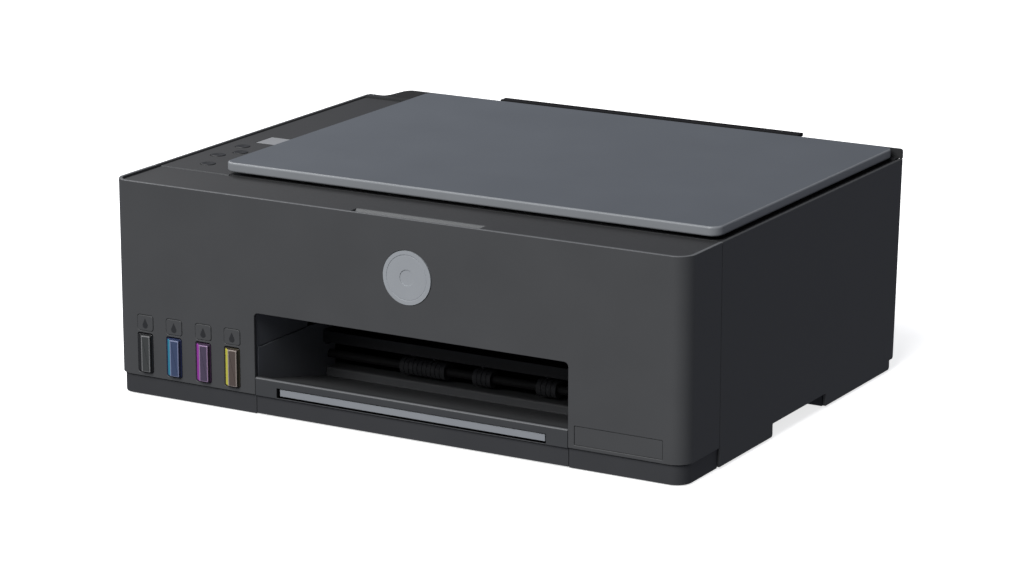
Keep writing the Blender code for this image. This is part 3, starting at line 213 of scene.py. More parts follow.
CASE = (0.0665, 0.068, 0.070)
SLOT_LOOKS = {
    "case": dict(colour=CASE, roughness=0.48),
    "top": dict(colour=(0.034, 0.0345, 0.036), roughness=0.62),
    "socket": dict(colour=(0.012, 0.012, 0.013), roughness=0.45),
    "inner_black": dict(colour=(0.015, 0.016, 0.018), roughness=0.5),
    "glass": dict(colour=(0.55, 0.6, 0.6), roughness=0.06, transmission=0.9, grain=0.02),
    "ink_black": dict(colour=(0.035, 0.037, 0.038), roughness=0.18, coat=0.4, grain=0.05),
    "ink_cyan": dict(colour=(0.012, 0.075, 0.22), roughness=0.18, coat=0.4, grain=0.05),
    "ink_magenta": dict(colour=(0.10, 0.012, 0.12), roughness=0.18, coat=0.4, grain=0.05),
    "ink_yellow": dict(colour=(0.16, 0.13, 0.02), roughness=0.18, coat=0.4, grain=0.05),
    "tube": dict(colour=(0.25, 0.26, 0.27), roughness=0.35),
    "mouth": dict(colour=(0.05, 0.052, 0.055), roughness=0.5),
    "steel": dict(colour=(0.35, 0.36, 0.37), roughness=0.4, metallic=0.9),
    "chassis": dict(colour=(0.02, 0.0205, 0.0215), roughness=0.45, metallic=0.3),
    "belt": dict(colour=(0.015, 0.015, 0.015), roughness=0.8),
    "rubber": dict(colour=(0.06, 0.061, 0.063), roughness=0.75, grain=0.5),
    "gear": dict(colour=(0.6, 0.59, 0.55), roughness=0.45),
    "board": dict(colour=(0.01, 0.07, 0.03), roughness=0.35),
    "emblem": dict(colour=(0.39, 0.41, 0.43), roughness=0.32, metallic=0.1, grain=0.1),
    "lid": dict(colour=(0.105, 0.115, 0.130), roughness=0.42),
    "foam": dict(colour=(0.8, 0.8, 0.8), roughness=0.85, grain=0.5),
    "tray_black": dict(colour=(0.010, 0.010, 0.011), roughness=0.65, specular=0.2),
    "extender": dict(colour=(0.285, 0.30, 0.32), roughness=0.4),
    "latch": dict(colour=(0.03, 0.12, 0.35), roughness=0.3, coat=0.3),
    "sled": dict(colour=(0.4, 0.4, 0.4), roughness=0.5),
    "button": dict(colour=(0.018, 0.0185, 0.020), roughness=0.4),
}


def look_of(slot):
    """The material of a record slot."""
    return moulded(f"{slot}_finish", **SLOT_LOOKS[slot])


# Second tones of one moulding: painted highlights on rims, lips and the lid's edges, painted light on the
# scoop and on the mouth's floor and walls, painted shade in the gap under the lid and in the slot, and dark
# or darker parts such as the base, the rear deck, the shaft, the marks and the rolls
TONES = {
    "rim_highlight": dict(colour=(0.13, 0.133, 0.138), roughness=0.4),
    "base_tone": dict(colour=(0.040, 0.041, 0.044), roughness=0.52),
    "lid_edge_highlight": dict(colour=(0.235, 0.247, 0.26), roughness=0.35),
    "scoop_painted_light": dict(colour=(0.105, 0.108, 0.110), roughness=0.45),
    "gap_shade_and_dark_plastic": dict(colour=(0.024, 0.0245, 0.026), roughness=0.5),
    "tray_floor_painted_light": dict(colour=(0.058, 0.0595, 0.062), roughness=0.55),
    "tray_wall_painted_light": dict(colour=(0.175, 0.182, 0.198), roughness=0.5),
    "slot_shade_and_shaft_black": dict(colour=(0.004, 0.004, 0.0045), roughness=0.75),
    "mark_tone": dict(colour=(0.026, 0.027, 0.029), roughness=0.4),
    "roll_tone": dict(colour=(0.028, 0.029, 0.032), roughness=0.7),
}


def tone(name):
    """The material of a second tone."""
    return moulded(name, **TONES[name])


# ---------------------------------------------------------------- shape tools
def add_box(bm, low, high):
    """A box between two corners."""
    corners = bmesh.ops.create_cube(bm, size=1.0)["verts"]
    bmesh.ops.scale(bm, vec=[high[i] - low[i] for i in range(3)], verts=corners)
    bmesh.ops.translate(bm, vec=[(high[i] + low[i]) / 2 for i in range(3)], verts=corners)
    return corners


def add_cylinder(bm, axis, centre, radius, length, segments=48):
    """A cylinder along an axis letter, with its middle at a point."""
    verts = bmesh.ops.create_cone(bm, cap_ends=True, segments=segments, radius1=radius, radius2=radius,
                                  depth=length)["verts"]
    angle, letter = {"x": (math.pi / 2, "Y"), "y": (-math.pi / 2, "X"), "z": (0.0, "Z")}[axis]
    bmesh.ops.rotate(bm, verts=verts, matrix=Matrix.Rotation(angle, 3, letter))
    bmesh.ops.translate(bm, vec=centre, verts=verts)
    return verts


def add_prism(bm, axis, outline, low, high):
    """A flat outline drawn across an axis, extruded along it from low to high."""
    order = {"x": lambda u, v: (low, u, v), "y": lambda u, v: (u, low, v),
             "z": lambda u, v: (u, v, low)}[axis]
    step = {"x": (high - low, 0, 0), "y": (0, high - low, 0), "z": (0, 0, high - low)}[axis]
    face = bm.faces.new([bm.verts.new(order(u, v)) for u, v in outline])
    raised = bmesh.ops.extrude_face_region(bm, geom=[face])["geom"]
    moved = [item for item in raised if isinstance(item, bmesh.types.BMVert)]
    bmesh.ops.translate(bm, vec=step, verts=moved)
    return moved


def arc(centre, radius, start, end, steps):
    """Points of a circular arc, with the angles in degrees."""
    return [(centre[0] + radius * math.cos(math.radians(start + (end - start) * i / steps)),
             centre[1] + radius * math.sin(math.radians(start + (end - start) * i / steps)))
            for i in range(steps + 1)]


def rounded_rectangle(low, high, radius, steps=8):
    """A rectangle's outline with four round corners."""
    (left, bottom), (right, top) = low, high
    points = []
    for centre, start in (((right - radius, bottom + radius), -90), ((right - radius, top - radius), 0),
                          ((left + radius, top - radius), 90), ((left + radius, bottom + radius), 180)):
        points += arc(centre, radius, start, start + 90, steps)
    return points


def front_path(inset, back_y, steps=18):
    """The plan outline of the front and its two round corners, inset from the outer skin."""
    half = HALF_WIDTH - inset
    radius = CORNER_RADIUS - inset
    right = arc((HALF_WIDTH - CORNER_RADIUS, CORNER_RADIUS), radius, 0, -90, steps)
    left = arc((CORNER_RADIUS - HALF_WIDTH, CORNER_RADIUS), radius, -90, -180, steps)
    return [(half, back_y)] + right + left + [(-half, back_y)]


def object_of(name, bm):
    """An object from a mesh drawn in the design frame."""
    bmesh.ops.recalc_face_normals(bm, faces=bm.faces)
    bmesh.ops.scale(bm, vec=(MM, MM, MM), verts=bm.verts)
    bmesh.ops.translate(bm, vec=place(0, 0, 0), verts=bm.verts)
    mesh = bpy.data.meshes.new(name)
    bm.to_mesh(mesh)
    bm.free()
    made = bpy.data.objects.new(name, mesh)
    bpy.context.scene.collection.objects.link(made)
    return made


def bake(piece):
    """Apply a piece's modifiers."""
    bpy.context.view_layer.update()
    done = bpy.data.meshes.new_from_object(piece.evaluated_get(bpy.context.evaluated_depsgraph_get()))
    piece.modifiers.clear()
    piece.data = done
    done.name = piece.name


def boolean(piece, tool_mesh, operation="DIFFERENCE"):
    """Cut a mesh out of a piece, or fuse it on, and apply the result."""
    tool = object_of(f"{piece.name}_tool", tool_mesh)
    step = piece.modifiers.new("boolean", "BOOLEAN")
    step.operation = operation
    step.object = tool
    bake(piece)
    bpy.data.objects.remove(tool)


def cut(piece, *boxes):
    """Cut boxes that don't touch each other out of a piece."""
    bm = bmesh.new()
    for low, high in boxes:
        add_box(bm, low, high)
    boolean(piece, bm)


def fuse(piece, *boxes):
    """Fuse boxes onto a piece, one after the other."""
    for low, high in boxes:
        bm = bmesh.new()
        add_box(bm, low, high)
        boolean(piece, bm, "UNION")


def shape(piece, axis, outline, low, high, operation="DIFFERENCE"):
    """Cut one extruded outline out of a piece, or fuse it on."""
    bm = bmesh.new()
    add_prism(bm, axis, outline, low, high)
    boolean(piece, bm, operation)


def drill(piece, axis, centre, radius, length, segments=48, operation="DIFFERENCE"):
    """Cut one cylinder out of a piece, or fuse it on."""
    bm = bmesh.new()
    add_cylinder(bm, axis, centre, radius, length, segments)
    boolean(piece, bm, operation)


def rod(name, axis, centre, radius, length, segments=48):
    """A piece that starts as one cylinder."""
    bm = bmesh.new()
    add_cylinder(bm, axis, centre, radius, length, segments)
    return object_of(name, bm)


def prism(name, axis, outline, low, high):
    """A piece that starts as one extruded outline."""
    bm = bmesh.new()
    add_prism(bm, axis, outline, low, high)
    return object_of(name, bm)


def block(name, low, high):
    """A piece that starts as one box."""
    bm = bmesh.new()
    add_box(bm, low, high)
    return object_of(name, bm)


def finish_piece(piece, slot, body, nodes=(), bevel=0.4, segments=3, angle=35.0, look=None, edge=None,
                 clamp=True):
    """Round the edges, shade smooth, and set the material, the body and what the piece stands for."""
    piece.data.materials.clear()
    piece.data.materials.append(look or look_of(slot))
    # the second look goes on the bevel faces; the ink windows give it as a painted highlight
    if edge:
        piece.data.materials.append(edge)
    if bevel:
        step = piece.modifiers.new("bevel", "BEVEL")
        step.width = bevel * MM
        step.segments = segments
        step.limit_method = "ANGLE"
        step.angle_limit = math.radians(angle)
        step.use_clamp_overlap = clamp
        step.miter_outer = "MITER_ARC"
        step.material = 1 if edge else -1
    bake(piece)
    piece.data.shade_smooth()
    piece.data.set_sharp_from_angle(angle=math.radians(38.0))
    weighted = piece.modifiers.new("normals", "WEIGHTED_NORMAL")
    weighted.keep_sharp = True
    bake(piece)
    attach(piece, body)
    if nodes:
        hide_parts(*nodes)
    return piece


def paint(piece, look, chosen):
    """Give the faces a test picks out another material; the test gets the face's normal and centre."""
    piece.data.materials.append(look)
    index = len(piece.data.materials) - 1
    origin = place(0, 0, 0)
    for face in piece.data.polygons:
        if chosen(face.normal, (face.center - origin) / MM):
            face.material_index = index


# ---------------------------------------------------------------- shells
def make_front_door():
    """Front panel with its wrapped sides, cut for the mouth, the ink windows and the marks."""
    outer = front_path(0.0, DOOR_WRAP_Y)
    inner = front_path(WALL, DOOR_WRAP_Y)[::-1]
    door = prism("front_door_skin", "z", outer + inner, DOOR_BOTTOM_Z, RIM_Z)
    holes = bmesh.new()
    add_prism(holes, "y", [(MOUTH_RIGHT, -5.0), *arc((MOUTH_RIGHT - 3.0, MOUTH_TOP - 3.0), 3.0, 0, 90, 8),
                           *arc((MOUTH_LEFT + 3.0, MOUTH_TOP - 3.0), 3.0, 90, 180, 8), (MOUTH_LEFT, -5.0)],
              -5.0, 6.0)
    for x in TANK_X.values():
        add_prism(holes, "y", rounded_rectangle((x - 6.3, 16.0), (x + 6.3, 43.8), 1.6), -5.0, 6.0)
        add_prism(holes, "y", rounded_rectangle((x - 6.2, 45.3), (x + 6.8, 56.4), 2.0), -5.0, 1.0)
    add_box(holes, (138.2, -5.0, 16.0), (201.3, 1.0, 28.7))
    add_cylinder(holes, "y", (EMBLEM[0], -2.0, EMBLEM[1]), EMBLEM_RADIUS + 0.25, 6.0, 96)
    boolean(door, holes)
    finish_piece(door, "case", "front_door", ["front_door"], bevel=0.4)
    # painted highlight: the rim's top and its rounded edge are painted lighter
    paint(door, tone("rim_highlight"), lambda normal, at: normal.z > 0.35 and at.z > RIM_Z - 1.0)


def make_door_marks():
    """Label plates with a raised drop, and the blank name plate."""
    for name, x in TANK_X.items():
        plate = prism(f"tank_label_{name}", "y", rounded_rectangle((x - 6.0, 45.5), (x + 6.6, 56.2), 1.9),
                      -0.3, 1.2)
        finish_piece(plate, "case", "front_door", bevel=0.4)
        mark = prism(f"drop_mark_{name}", "y", drop_outline(x + 0.3, 49.2, 2.1), -0.45, 0.6)
        finish_piece(mark, "button", "front_door", bevel=0.08, segments=2, look=tone("mark_tone"))
    (left, bottom), (right, top) = NAME_PLATE_LOW, NAME_PLATE_HIGH
    plate = block("name_plate", (left, 0.4, bottom), (right, 1.2, top))
    finish_piece(plate, "case", "front_door", bevel=0.15, segments=2)


def drop_outline(x, z, radius):
    """A drop: a circle that narrows to a point above."""
    tip = (x, z + 2.3 * radius)
    return arc((x, z), radius, 150, 390, 20) + [tip]


def make_emblem():
    """Badge: a spun disc with a shallow ring and a round dimple at its centre."""
    x, z = EMBLEM
    disc = prism("emblem_badge", "y", arc((x, z), EMBLEM_RADIUS, 0, 357, 119), -0.5, 0.9)
    drill(disc, "y", (x, -1.2, z), EMBLEM_RADIUS - 2.6, 2.0, 96)
    shape(disc, "y", arc((x, z), EMBLEM_RADIUS - 3.4, 0, 356, 89), 0.5, -0.35, "UNION")
    shape(disc, "y", arc((x, z), 0.3 * EMBLEM_RADIUS, 0, 355, 72), -2.0, 0.1)
    finish_piece(disc, "emblem", "front_door", ["emblem_disc"], bevel=0.12, segments=2)


def make_base():
    """Bottom case with its front corner strips, grips and feet."""
    back = REAR_STEP_Y - 0.8
    outer = front_path(1.5, SIDE_FRONT_Y - 0.5)
    inner_half = HALF_WIDTH - WALL - 0.4
    plan = [(inner_half, back), (inner_half, SIDE_FRONT_Y - 0.5)] + outer
    plan += [(-inner_half, SIDE_FRONT_Y - 0.5), (-inner_half, back)]
    base = prism("base_shell", "z", plan, 0.0, 12.9)
    half = inner_half - WALL
    shape(base, "z", [(half, back - WALL), (half, 13.0), (205.0, 4.5), (-205.0, 4.5),
                      (-half, 13.0), (-half, back - WALL)], 3.0, 14.0)
    for side in (-1, 1):
        inside, outside = sorted((side * 199.5, side * (inner_half - 0.1)))
        fuse(base, ((inside, GRIP_FRONT_Y - 3.0, 0.5), (outside, GRIP_REAR_Y + 3.0, GRIP_TOP_Z + 2.5)))
        inside, outside = sorted((side * 202.0, side * 220.0))
        cut(base, ((inside, GRIP_FRONT_Y, -1.0), (outside, GRIP_REAR_Y, GRIP_TOP_Z)))
    cut(base, ((MOUTH_LEFT, -1.0, -1.0), (MOUTH_RIGHT, 5.2, 20.0)))
    holes = bmesh.new()
    for x, y in SCREW_PLACES:
        add_cylinder(holes, "z", (x, y, 1.5), 4.0, 6.0, 24)
    boolean(base, holes)
    fuse(base, *[((x - 12.0, y - 7.0, -1.0), (x + 12.0, y + 7.0, 1.0))
                 for x in (-FOOT_X, FOOT_X) for y in FOOT_Y])
    finish_piece(base, "case", "housing", ["base_housing"], bevel=0.4, segments=2, look=tone("base_tone"))


def make_side_covers():
    """Side shells with a hand-grip notch and a leaning rear edge."""
    step_y = rear_y(REAR_STEP_Z)
    outline = [(SIDE_FRONT_Y, SIDE_BOTTOM_Z), *arc((GRIP_FRONT_Y - 2.0, SIDE_BOTTOM_Z + 2.0), 2.0, -90, 0, 5),
               (GRIP_FRONT_Y, GRIP_TOP_Z), (GRIP_REAR_Y, GRIP_TOP_Z), (GRIP_REAR_Y, SIDE_BOTTOM_Z),
               (REAR_STEP_Y - 2.0, SIDE_BOTTOM_Z),
               *arc((REAR_STEP_Y - 2.5, SIDE_BOTTOM_Z + 2.5), 2.5, -70, 0, 5),
               (REAR_STEP_Y, REAR_STEP_Z), (step_y - 1.0, REAR_STEP_Z), (step_y, REAR_STEP_Z + 1.5),
               (REAR_TOP_Y, RIM_Z), (SIDE_FRONT_Y, RIM_Z)]
    for side, name in ((-1, "side_cover_left"), (1, "side_cover_right")):
        low, high = sorted((side * (HALF_WIDTH - WALL), side * HALF_WIDTH))
        cover = prism(f"{name}_skin", "x", outline, low, high)
        ledge = sorted((side * (HALF_WIDTH - WALL - 4.0), side * (HALF_WIDTH - WALL + 0.5)))
        fuse(cover, ((ledge[0], 60.0, 112.0), (ledge[1], 300.0, 115.5)))
        finish_piece(cover, "case", "housing", [name], bevel=0.6, segments=3)


def make_top_strip():
    """Strip behind the front panel's rim, with its finger scoop and a thin sheet in the scoop painted lighter
    as painted light on its sloping wall.
    """
    strip = prism("top_strip_skin", "z", front_path(WALL + 0.5, STRIP_BACK_Y), 138.0, TOP_Z - 0.5)
    shape(strip, "x", [(-5.0, 141.0), (10.5, 141.0), (21.4, 150.0), (-5.0, 150.0)], -33.0, 64.0)
    finish_piece(strip, "top", "housing", ["front_top_strip"], bevel=0.3)
    # painted light: a thin sheet on the scoop's floor and sloping wall, painted lighter where light falls
    lit_sheet = prism("scoop_lit_sheet", "x", [(3.4, 141.0), (10.4, 141.0), (16.8, 146.2), (15.4, 146.2),
                                         (10.0, 141.8), (3.4, 141.8)], -32.9, 63.9)
    finish_piece(lit_sheet, "top", "housing", bevel=0.2, segments=2, look=tone("scoop_painted_light"))


def make_control_panel():
    """Button panel, its display and the dished buttons."""
    panel = block("control_panel_skin", (3.0 - HALF_WIDTH, STRIP_BACK_Y + 0.6, 143.0),
                  (PANEL_RIGHT - GAP, PANEL_REAR_Y, TOP_Z))
    holes = bmesh.new()
    for x, y in BUTTONS.values():
        add_cylinder(holes, "z", (x, y, 145.0), BUTTON_RADIUS + 0.3, 10.0, 48)
    boolean(panel, holes)
    cut(panel, ((DISPLAY_LOW[0] - GAP, DISPLAY_LOW[1] - GAP, 145.2),
                (DISPLAY_HIGH[0] + GAP, DISPLAY_HIGH[1] + GAP, 150.0)))
    finish_piece(panel, "top", "housing", ["control_panel"], bevel=0.25, segments=2)
    # painted highlight: the panel's front edge is painted lighter
    paint(panel, tone("rim_highlight"), lambda normal, at: normal.y < -0.3 and at.y < STRIP_BACK_Y + 1.0)
    window = block("display_window", (*DISPLAY_LOW, 145.3), (*DISPLAY_HIGH, 146.7))
    finish_piece(window, "extender", "housing", bevel=0.25, look=moulded(
        "display_finish", (0.33, 0.335, 0.345), roughness=0.3, coat=0.5, grain=0.05))
    for name, (x, y) in BUTTONS.items():
        cap = rod(f"{name}_cap", "z", (x, y, 144.6), BUTTON_RADIUS, 5.2)
        dish = bmesh.new()
        bmesh.ops.create_uvsphere(dish, u_segments=48, v_segments=32, radius=18.0)
        bmesh.ops.translate(dish, vec=(x, y, 147.2 + 17.6), verts=dish.verts)
        boolean(cap, dish)
        finish_piece(cap, "button", name, [name], bevel=0.4)


def make_bezel():
    """Frame round the glass, painted dark as painted shade for the gap under the lid."""
    low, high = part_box("scanner_glass")
    left, right = low.x / MM, high.x / MM
    front, back = (low.y - FRONT_Y) / MM, (high.y - FRONT_Y) / MM
    bezel = block("bezel_skin", (PANEL_RIGHT + GAP, STRIP_BACK_Y + 0.6, 140.3),
                  (INNER_HALF, PANEL_REAR_Y, TOP_Z))
    cut(bezel, ((left - GAP, front - GAP, 130.0), (right + GAP, back + GAP, 160.0)))
    # painted shade: the frame is painted dark, for the gap under the lid
    finish_piece(bezel, "top", "housing", ["scanner_bezel"], bevel=0.3, segments=2, look=tone("gap_shade_and_dark_plastic"))


def make_lid():
    """Scanner lid with soft edges painted lighter as a painted highlight, painted shade on its underside,
    hollow below for its backing pad.
    """
    outline = rounded_rectangle((LID_LEFT, LID_FRONT), (LID_RIGHT, LID_REAR), 8.0, 14)
    shell = prism("lid_skin", "z", outline, LID_LOW_Z, LID_HIGH_Z)
    step = shell.modifiers.new("round", "BEVEL")
    step.width = 1.5 * MM
    step.segments = 5
    step.limit_method = "ANGLE"
    step.angle_limit = math.radians(60.0)
    bake(shell)
    cut(shell, ((LID_LEFT + 4.0, LID_FRONT + 4.0, 140.0), (LID_RIGHT - 4.0, LID_REAR - 4.0, 152.5)))
    finish_piece(shell, "lid", "lid", ["lid_shell"], bevel=0.0)
    # painted highlight: every side face of the lid is painted lighter
    paint(shell, tone("lid_edge_highlight"), lambda normal, at: abs(normal.z) < 0.93)
    # painted shade: the lid's underside is painted dark
    paint(shell, tone("gap_shade_and_dark_plastic"), lambda normal, at: normal.z < -0.8)


def make_rear_cover():
    """Leaning back panel with the paper hopper's gap and the socket holes."""
    half = HALF_WIDTH - WALL - 0.4
    foot_y = rear_y(REAR_STEP_Z)
    outline = [(REAR_STEP_Y - 0.4, REAR_STEP_Z), (foot_y, REAR_STEP_Z), (rear_y(TOP_Z), TOP_Z),
               (rear_y(TOP_Z) - WALL, TOP_Z), (foot_y - WALL, REAR_STEP_Z + WALL),
               (REAR_STEP_Y - 0.4, REAR_STEP_Z + WALL)]
    cover = prism("rear_cover_skin", "x", outline, -half, half)
    cut(cover, ((HOPPER_LEFT - GAP, 280.0, 19.7), (HOPPER_RIGHT + GAP, 360.0, 200.0)),
        ((-182.3, 290.0, 14.7), (-157.7, 340.0, 35.3)), ((177.7, 290.0, 17.7), (192.3, 340.0, 32.3)))
    finish_piece(cover, "case", "housing", ["rear_cover"], bevel=0.5)


def deck_outline():
    """The rear deck seen from the front: a soft shoulder at the left and a small round end at the right."""
    left, rise, steps = -206.0, 30.0, 24
    low_z = RIM_Z + GAP
    climb = (DECK_TOP_Z - low_z) / 2
    shoulder = [(left + rise * i / steps, low_z + climb * (1 - math.cos(math.pi * i / steps)))
                for i in range(steps + 1)]
    return ([(left, TOP_Z + 0.1), (INNER_HALF, TOP_Z + 0.1), (INNER_HALF, low_z), (HALF_WIDTH, low_z)]
            + arc((HALF_WIDTH - 1.8, DECK_TOP_Z - 1.8), 1.8, 0, 90, 8) + shoulder[::-1])


def make_rear_feed_housing():
    """Rear deck with its hinge pockets, and the hopper behind it."""
    outline = [(312.0, 20.0), (331.0, 20.0), (REAR_MOST, 112.0),
               *arc((REAR_MOST - 8.0, 132.0), 8.0, 0, 68, 8),
               (340.0, 147.0), (314.1, 147.0), (314.1, 100.0)]
    housing = prism("rear_feed_skin", "x", outline, HOPPER_LEFT, HOPPER_RIGHT)
    shape(housing, "x", [(300.0, 22.5), (329.3, 22.5), (REAR_MOST - WALL, 113.0), (REAR_MOST - WALL, 160.0),
                         (300.0, 160.0)], HOPPER_LEFT + WALL, HOPPER_RIGHT - WALL)
    shape(housing, "y", deck_outline(), DECK_FRONT_Y, REAR_TOP_Y, "UNION")
    fuse(housing, ((-INNER_HALF, 314.1, 143.0), (INNER_HALF, 318.2, 147.5)),
         ((-INNER_HALF, 314.1, TOP_Z + GAP), (INNER_HALF, 320.5, 148.6)),
         ((HOPPER_LEFT, 294.0, 33.0), (HOPPER_LEFT + WALL, 318.0, 75.0)),
         ((HOPPER_RIGHT - WALL, 294.0, 33.0), (HOPPER_RIGHT, 318.0, 75.0)),
         ((HOPPER_LEFT + 0.5, 306.0, 34.0), (HOPPER_RIGHT - 0.5, 309.0, 38.0)),
         *[((x - 10.0, 320.9, 147.1), (x + 10.0, 324.6, 153.6)) for x in LID_HINGE_X])
    cut(housing, ((-105.3, 321.9, 120.0), (135.3, 331.0, 160.0)))
    cut(housing, ((-100.0, 317.6, 120.0), (130.0, 322.0, 160.0)),
        *[((x - 5.5, 305.0, 145.3), (x + 5.5, 323.2, 160.0)) for x in LID_HINGE_X])
    finish_piece(housing, "case", "housing", ["rear_feed_housing"], bevel=0.35, segments=3,
                 look=tone("gap_shade_and_dark_plastic"))


def make_paper_support():
    """Tilting support plate with its lip and the channels of the extension."""
    left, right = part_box("paper_support")[0].x / MM + 16.0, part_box("paper_support")[1].x / MM - 16.0
    support = block("support_plate", (left, 327.5, 48.0), (right, 330.0, 153.8))
    fuse(support, ((left, 326.0, 152.4), (right, 334.0, 154.6)))
    for edge, inward in ((EXTENSION_LEFT, 1), (EXTENSION_RIGHT, -1)):
        xs = sorted((edge, edge - 5.0 * inward))
        lips = sorted((edge - 5.0 * inward, edge + 4.0 * inward))
        fuse(support, ((xs[0], 329.5, 64.0), (xs[1], 333.7, 140.0)),
             ((lips[0], 332.4, 64.0), (lips[1], 333.7, 140.0)))
    cut(support, ((EXTENSION_LEFT, 330.1, 150.0), (EXTENSION_RIGHT, 332.3, 160.0)))
    finish_piece(support, "tray_black", "paper_support", ["paper_support"], bevel=0.5)
    extension = block("extension_plate", (-85.6, 330.4, 64.0), (115.6, 332.0, 154.2))
    shape(extension, "y", [(0.0, 160.0), (3.0, 150.5), (27.0, 150.5), (30.0, 160.0)], 329.0, 334.0)
    ribs = [((x, 331.4, 70.0), (x + 30.0, 333.0, 140.0)) for x in (-76.0, -34.0, 34.0, 76.0)]
    cut(extension, *ribs)
    finish_piece(extension, "tray_black", "support_extension", ["support_extension"], bevel=0.3)
    bm = bmesh.new()
    for x in (left - 8.0, right + 8.0):
        add_cylinder(bm, "x", (x, 328.5, 60.0), 2.0, 16.4, 24)
    pins = object_of("support_pins", bm)
    finish_piece(pins, "tray_black", "paper_support", bevel=0.3)


def tinted(name, colour, roughness):
    """Tinted clear plastic seen over its ink."""
    return moulded(name, colour, roughness=roughness, grain=0.03, coat=0.6)


# Front face, then painted light on the wide left flank, painted shade on the narrow right flank and painted
# highlights on the edges
WINDOW_LOOKS = {
    "black": ((0.053, 0.056, 0.055), (0.004, 0.004, 0.004), (0.010, 0.010, 0.011), (0.20, 0.20, 0.20)),
    "cyan": ((0.050, 0.072, 0.145), (0.026, 0.290, 0.440), (0.008, 0.016, 0.060), (0.22, 0.25, 0.38)),
    "magenta": ((0.078, 0.058, 0.100), (0.400, 0.045, 0.450), (0.030, 0.008, 0.036), (0.33, 0.22, 0.36)),
    "yellow": ((0.098, 0.074, 0.064), (0.720, 0.680, 0.080), (0.030, 0.024, 0.010), (0.34, 0.29, 0.26)),
}


def make_tanks():
    """Ink tanks with their filler necks."""
    for name, x in TANK_X.items():
        half = TANK_WIDTH / 2
        body = block(f"tank_body_{name}", (x - half, 4.8, 3.4), (x + half, 62.0, 74.0))
        drill(body, "z", (x, FILLER_Y, 76.5), 6.5, 6.0, operation="UNION")
        drill(body, "z", (x, FILLER_Y, 74.0), 4.0, 14.0, 36)
        fuse(body, ((x - 9.5, 33.0, 73.0), (x - 6.0, 37.5, 86.0)),
             ((x + 6.0, 33.0, 73.0), (x + 9.5, 37.5, 86.0)))
        ink = SLOT_LOOKS[f"ink_{name}"]["colour"]
        finish_piece(body, f"ink_{name}", "housing", [f"ink_tank_{name}"], bevel=0.5, segments=2,
                     look=tinted(f"tank_wall_{name}", [c * 0.25 for c in ink], 0.35))


def make_ink_windows():
    """Clear level windows: a flat face with painted highlights on its edges, a wide flank painted in lit ink
    colour and a narrow flank in painted shade.
    """
    low_z, high_z, grow = WINDOW_LOW, WINDOW_HIGH, WINDOW_WIDTH / 2
    for name, x in TANK_X.items():
        outline = rounded_rectangle((x - grow, low_z), (x + grow, high_z), WINDOW_CORNER, 4)
        bm = bmesh.new()
        near = add_prism(bm, "y", outline, 0.0, FRONT_MOST + 0.1)
        face_left, face_right = x - grow + 4.0, x + grow - 0.2
        face_low, face_high = low_z + 0.3, high_z - 0.2
        for vert in near:
            across = (vert.co.x - x + grow) / (2 * grow)
            up = (vert.co.z - low_z) / (high_z - low_z)
            vert.co.x = face_left + (face_right - face_left) * across
            vert.co.z = face_low + (face_high - face_low) * up
        window = object_of(f"ink_window_{name}", bm)
        shape(window, "y", outline, -0.01, 4.9, "UNION")
        front, lit, shaded, edge = (tinted(f"window_{label}_{name}", colour, 0.22) for label, colour in
                                    zip(("front", "lit", "shaded", "edge"), WINDOW_LOOKS[name]))
        # painted highlight: the bevel faces take the window's bright edge look
        finish_piece(window, f"ink_{name}", "housing", bevel=0.65, look=front, edge=edge, clamp=False)
        paint(window, lit, lambda normal, at: -0.95 < normal.x < -0.45 and at.y < -0.1)
        paint(window, shaded, lambda normal, at: at.y > -0.9 or normal.x > 0.93)


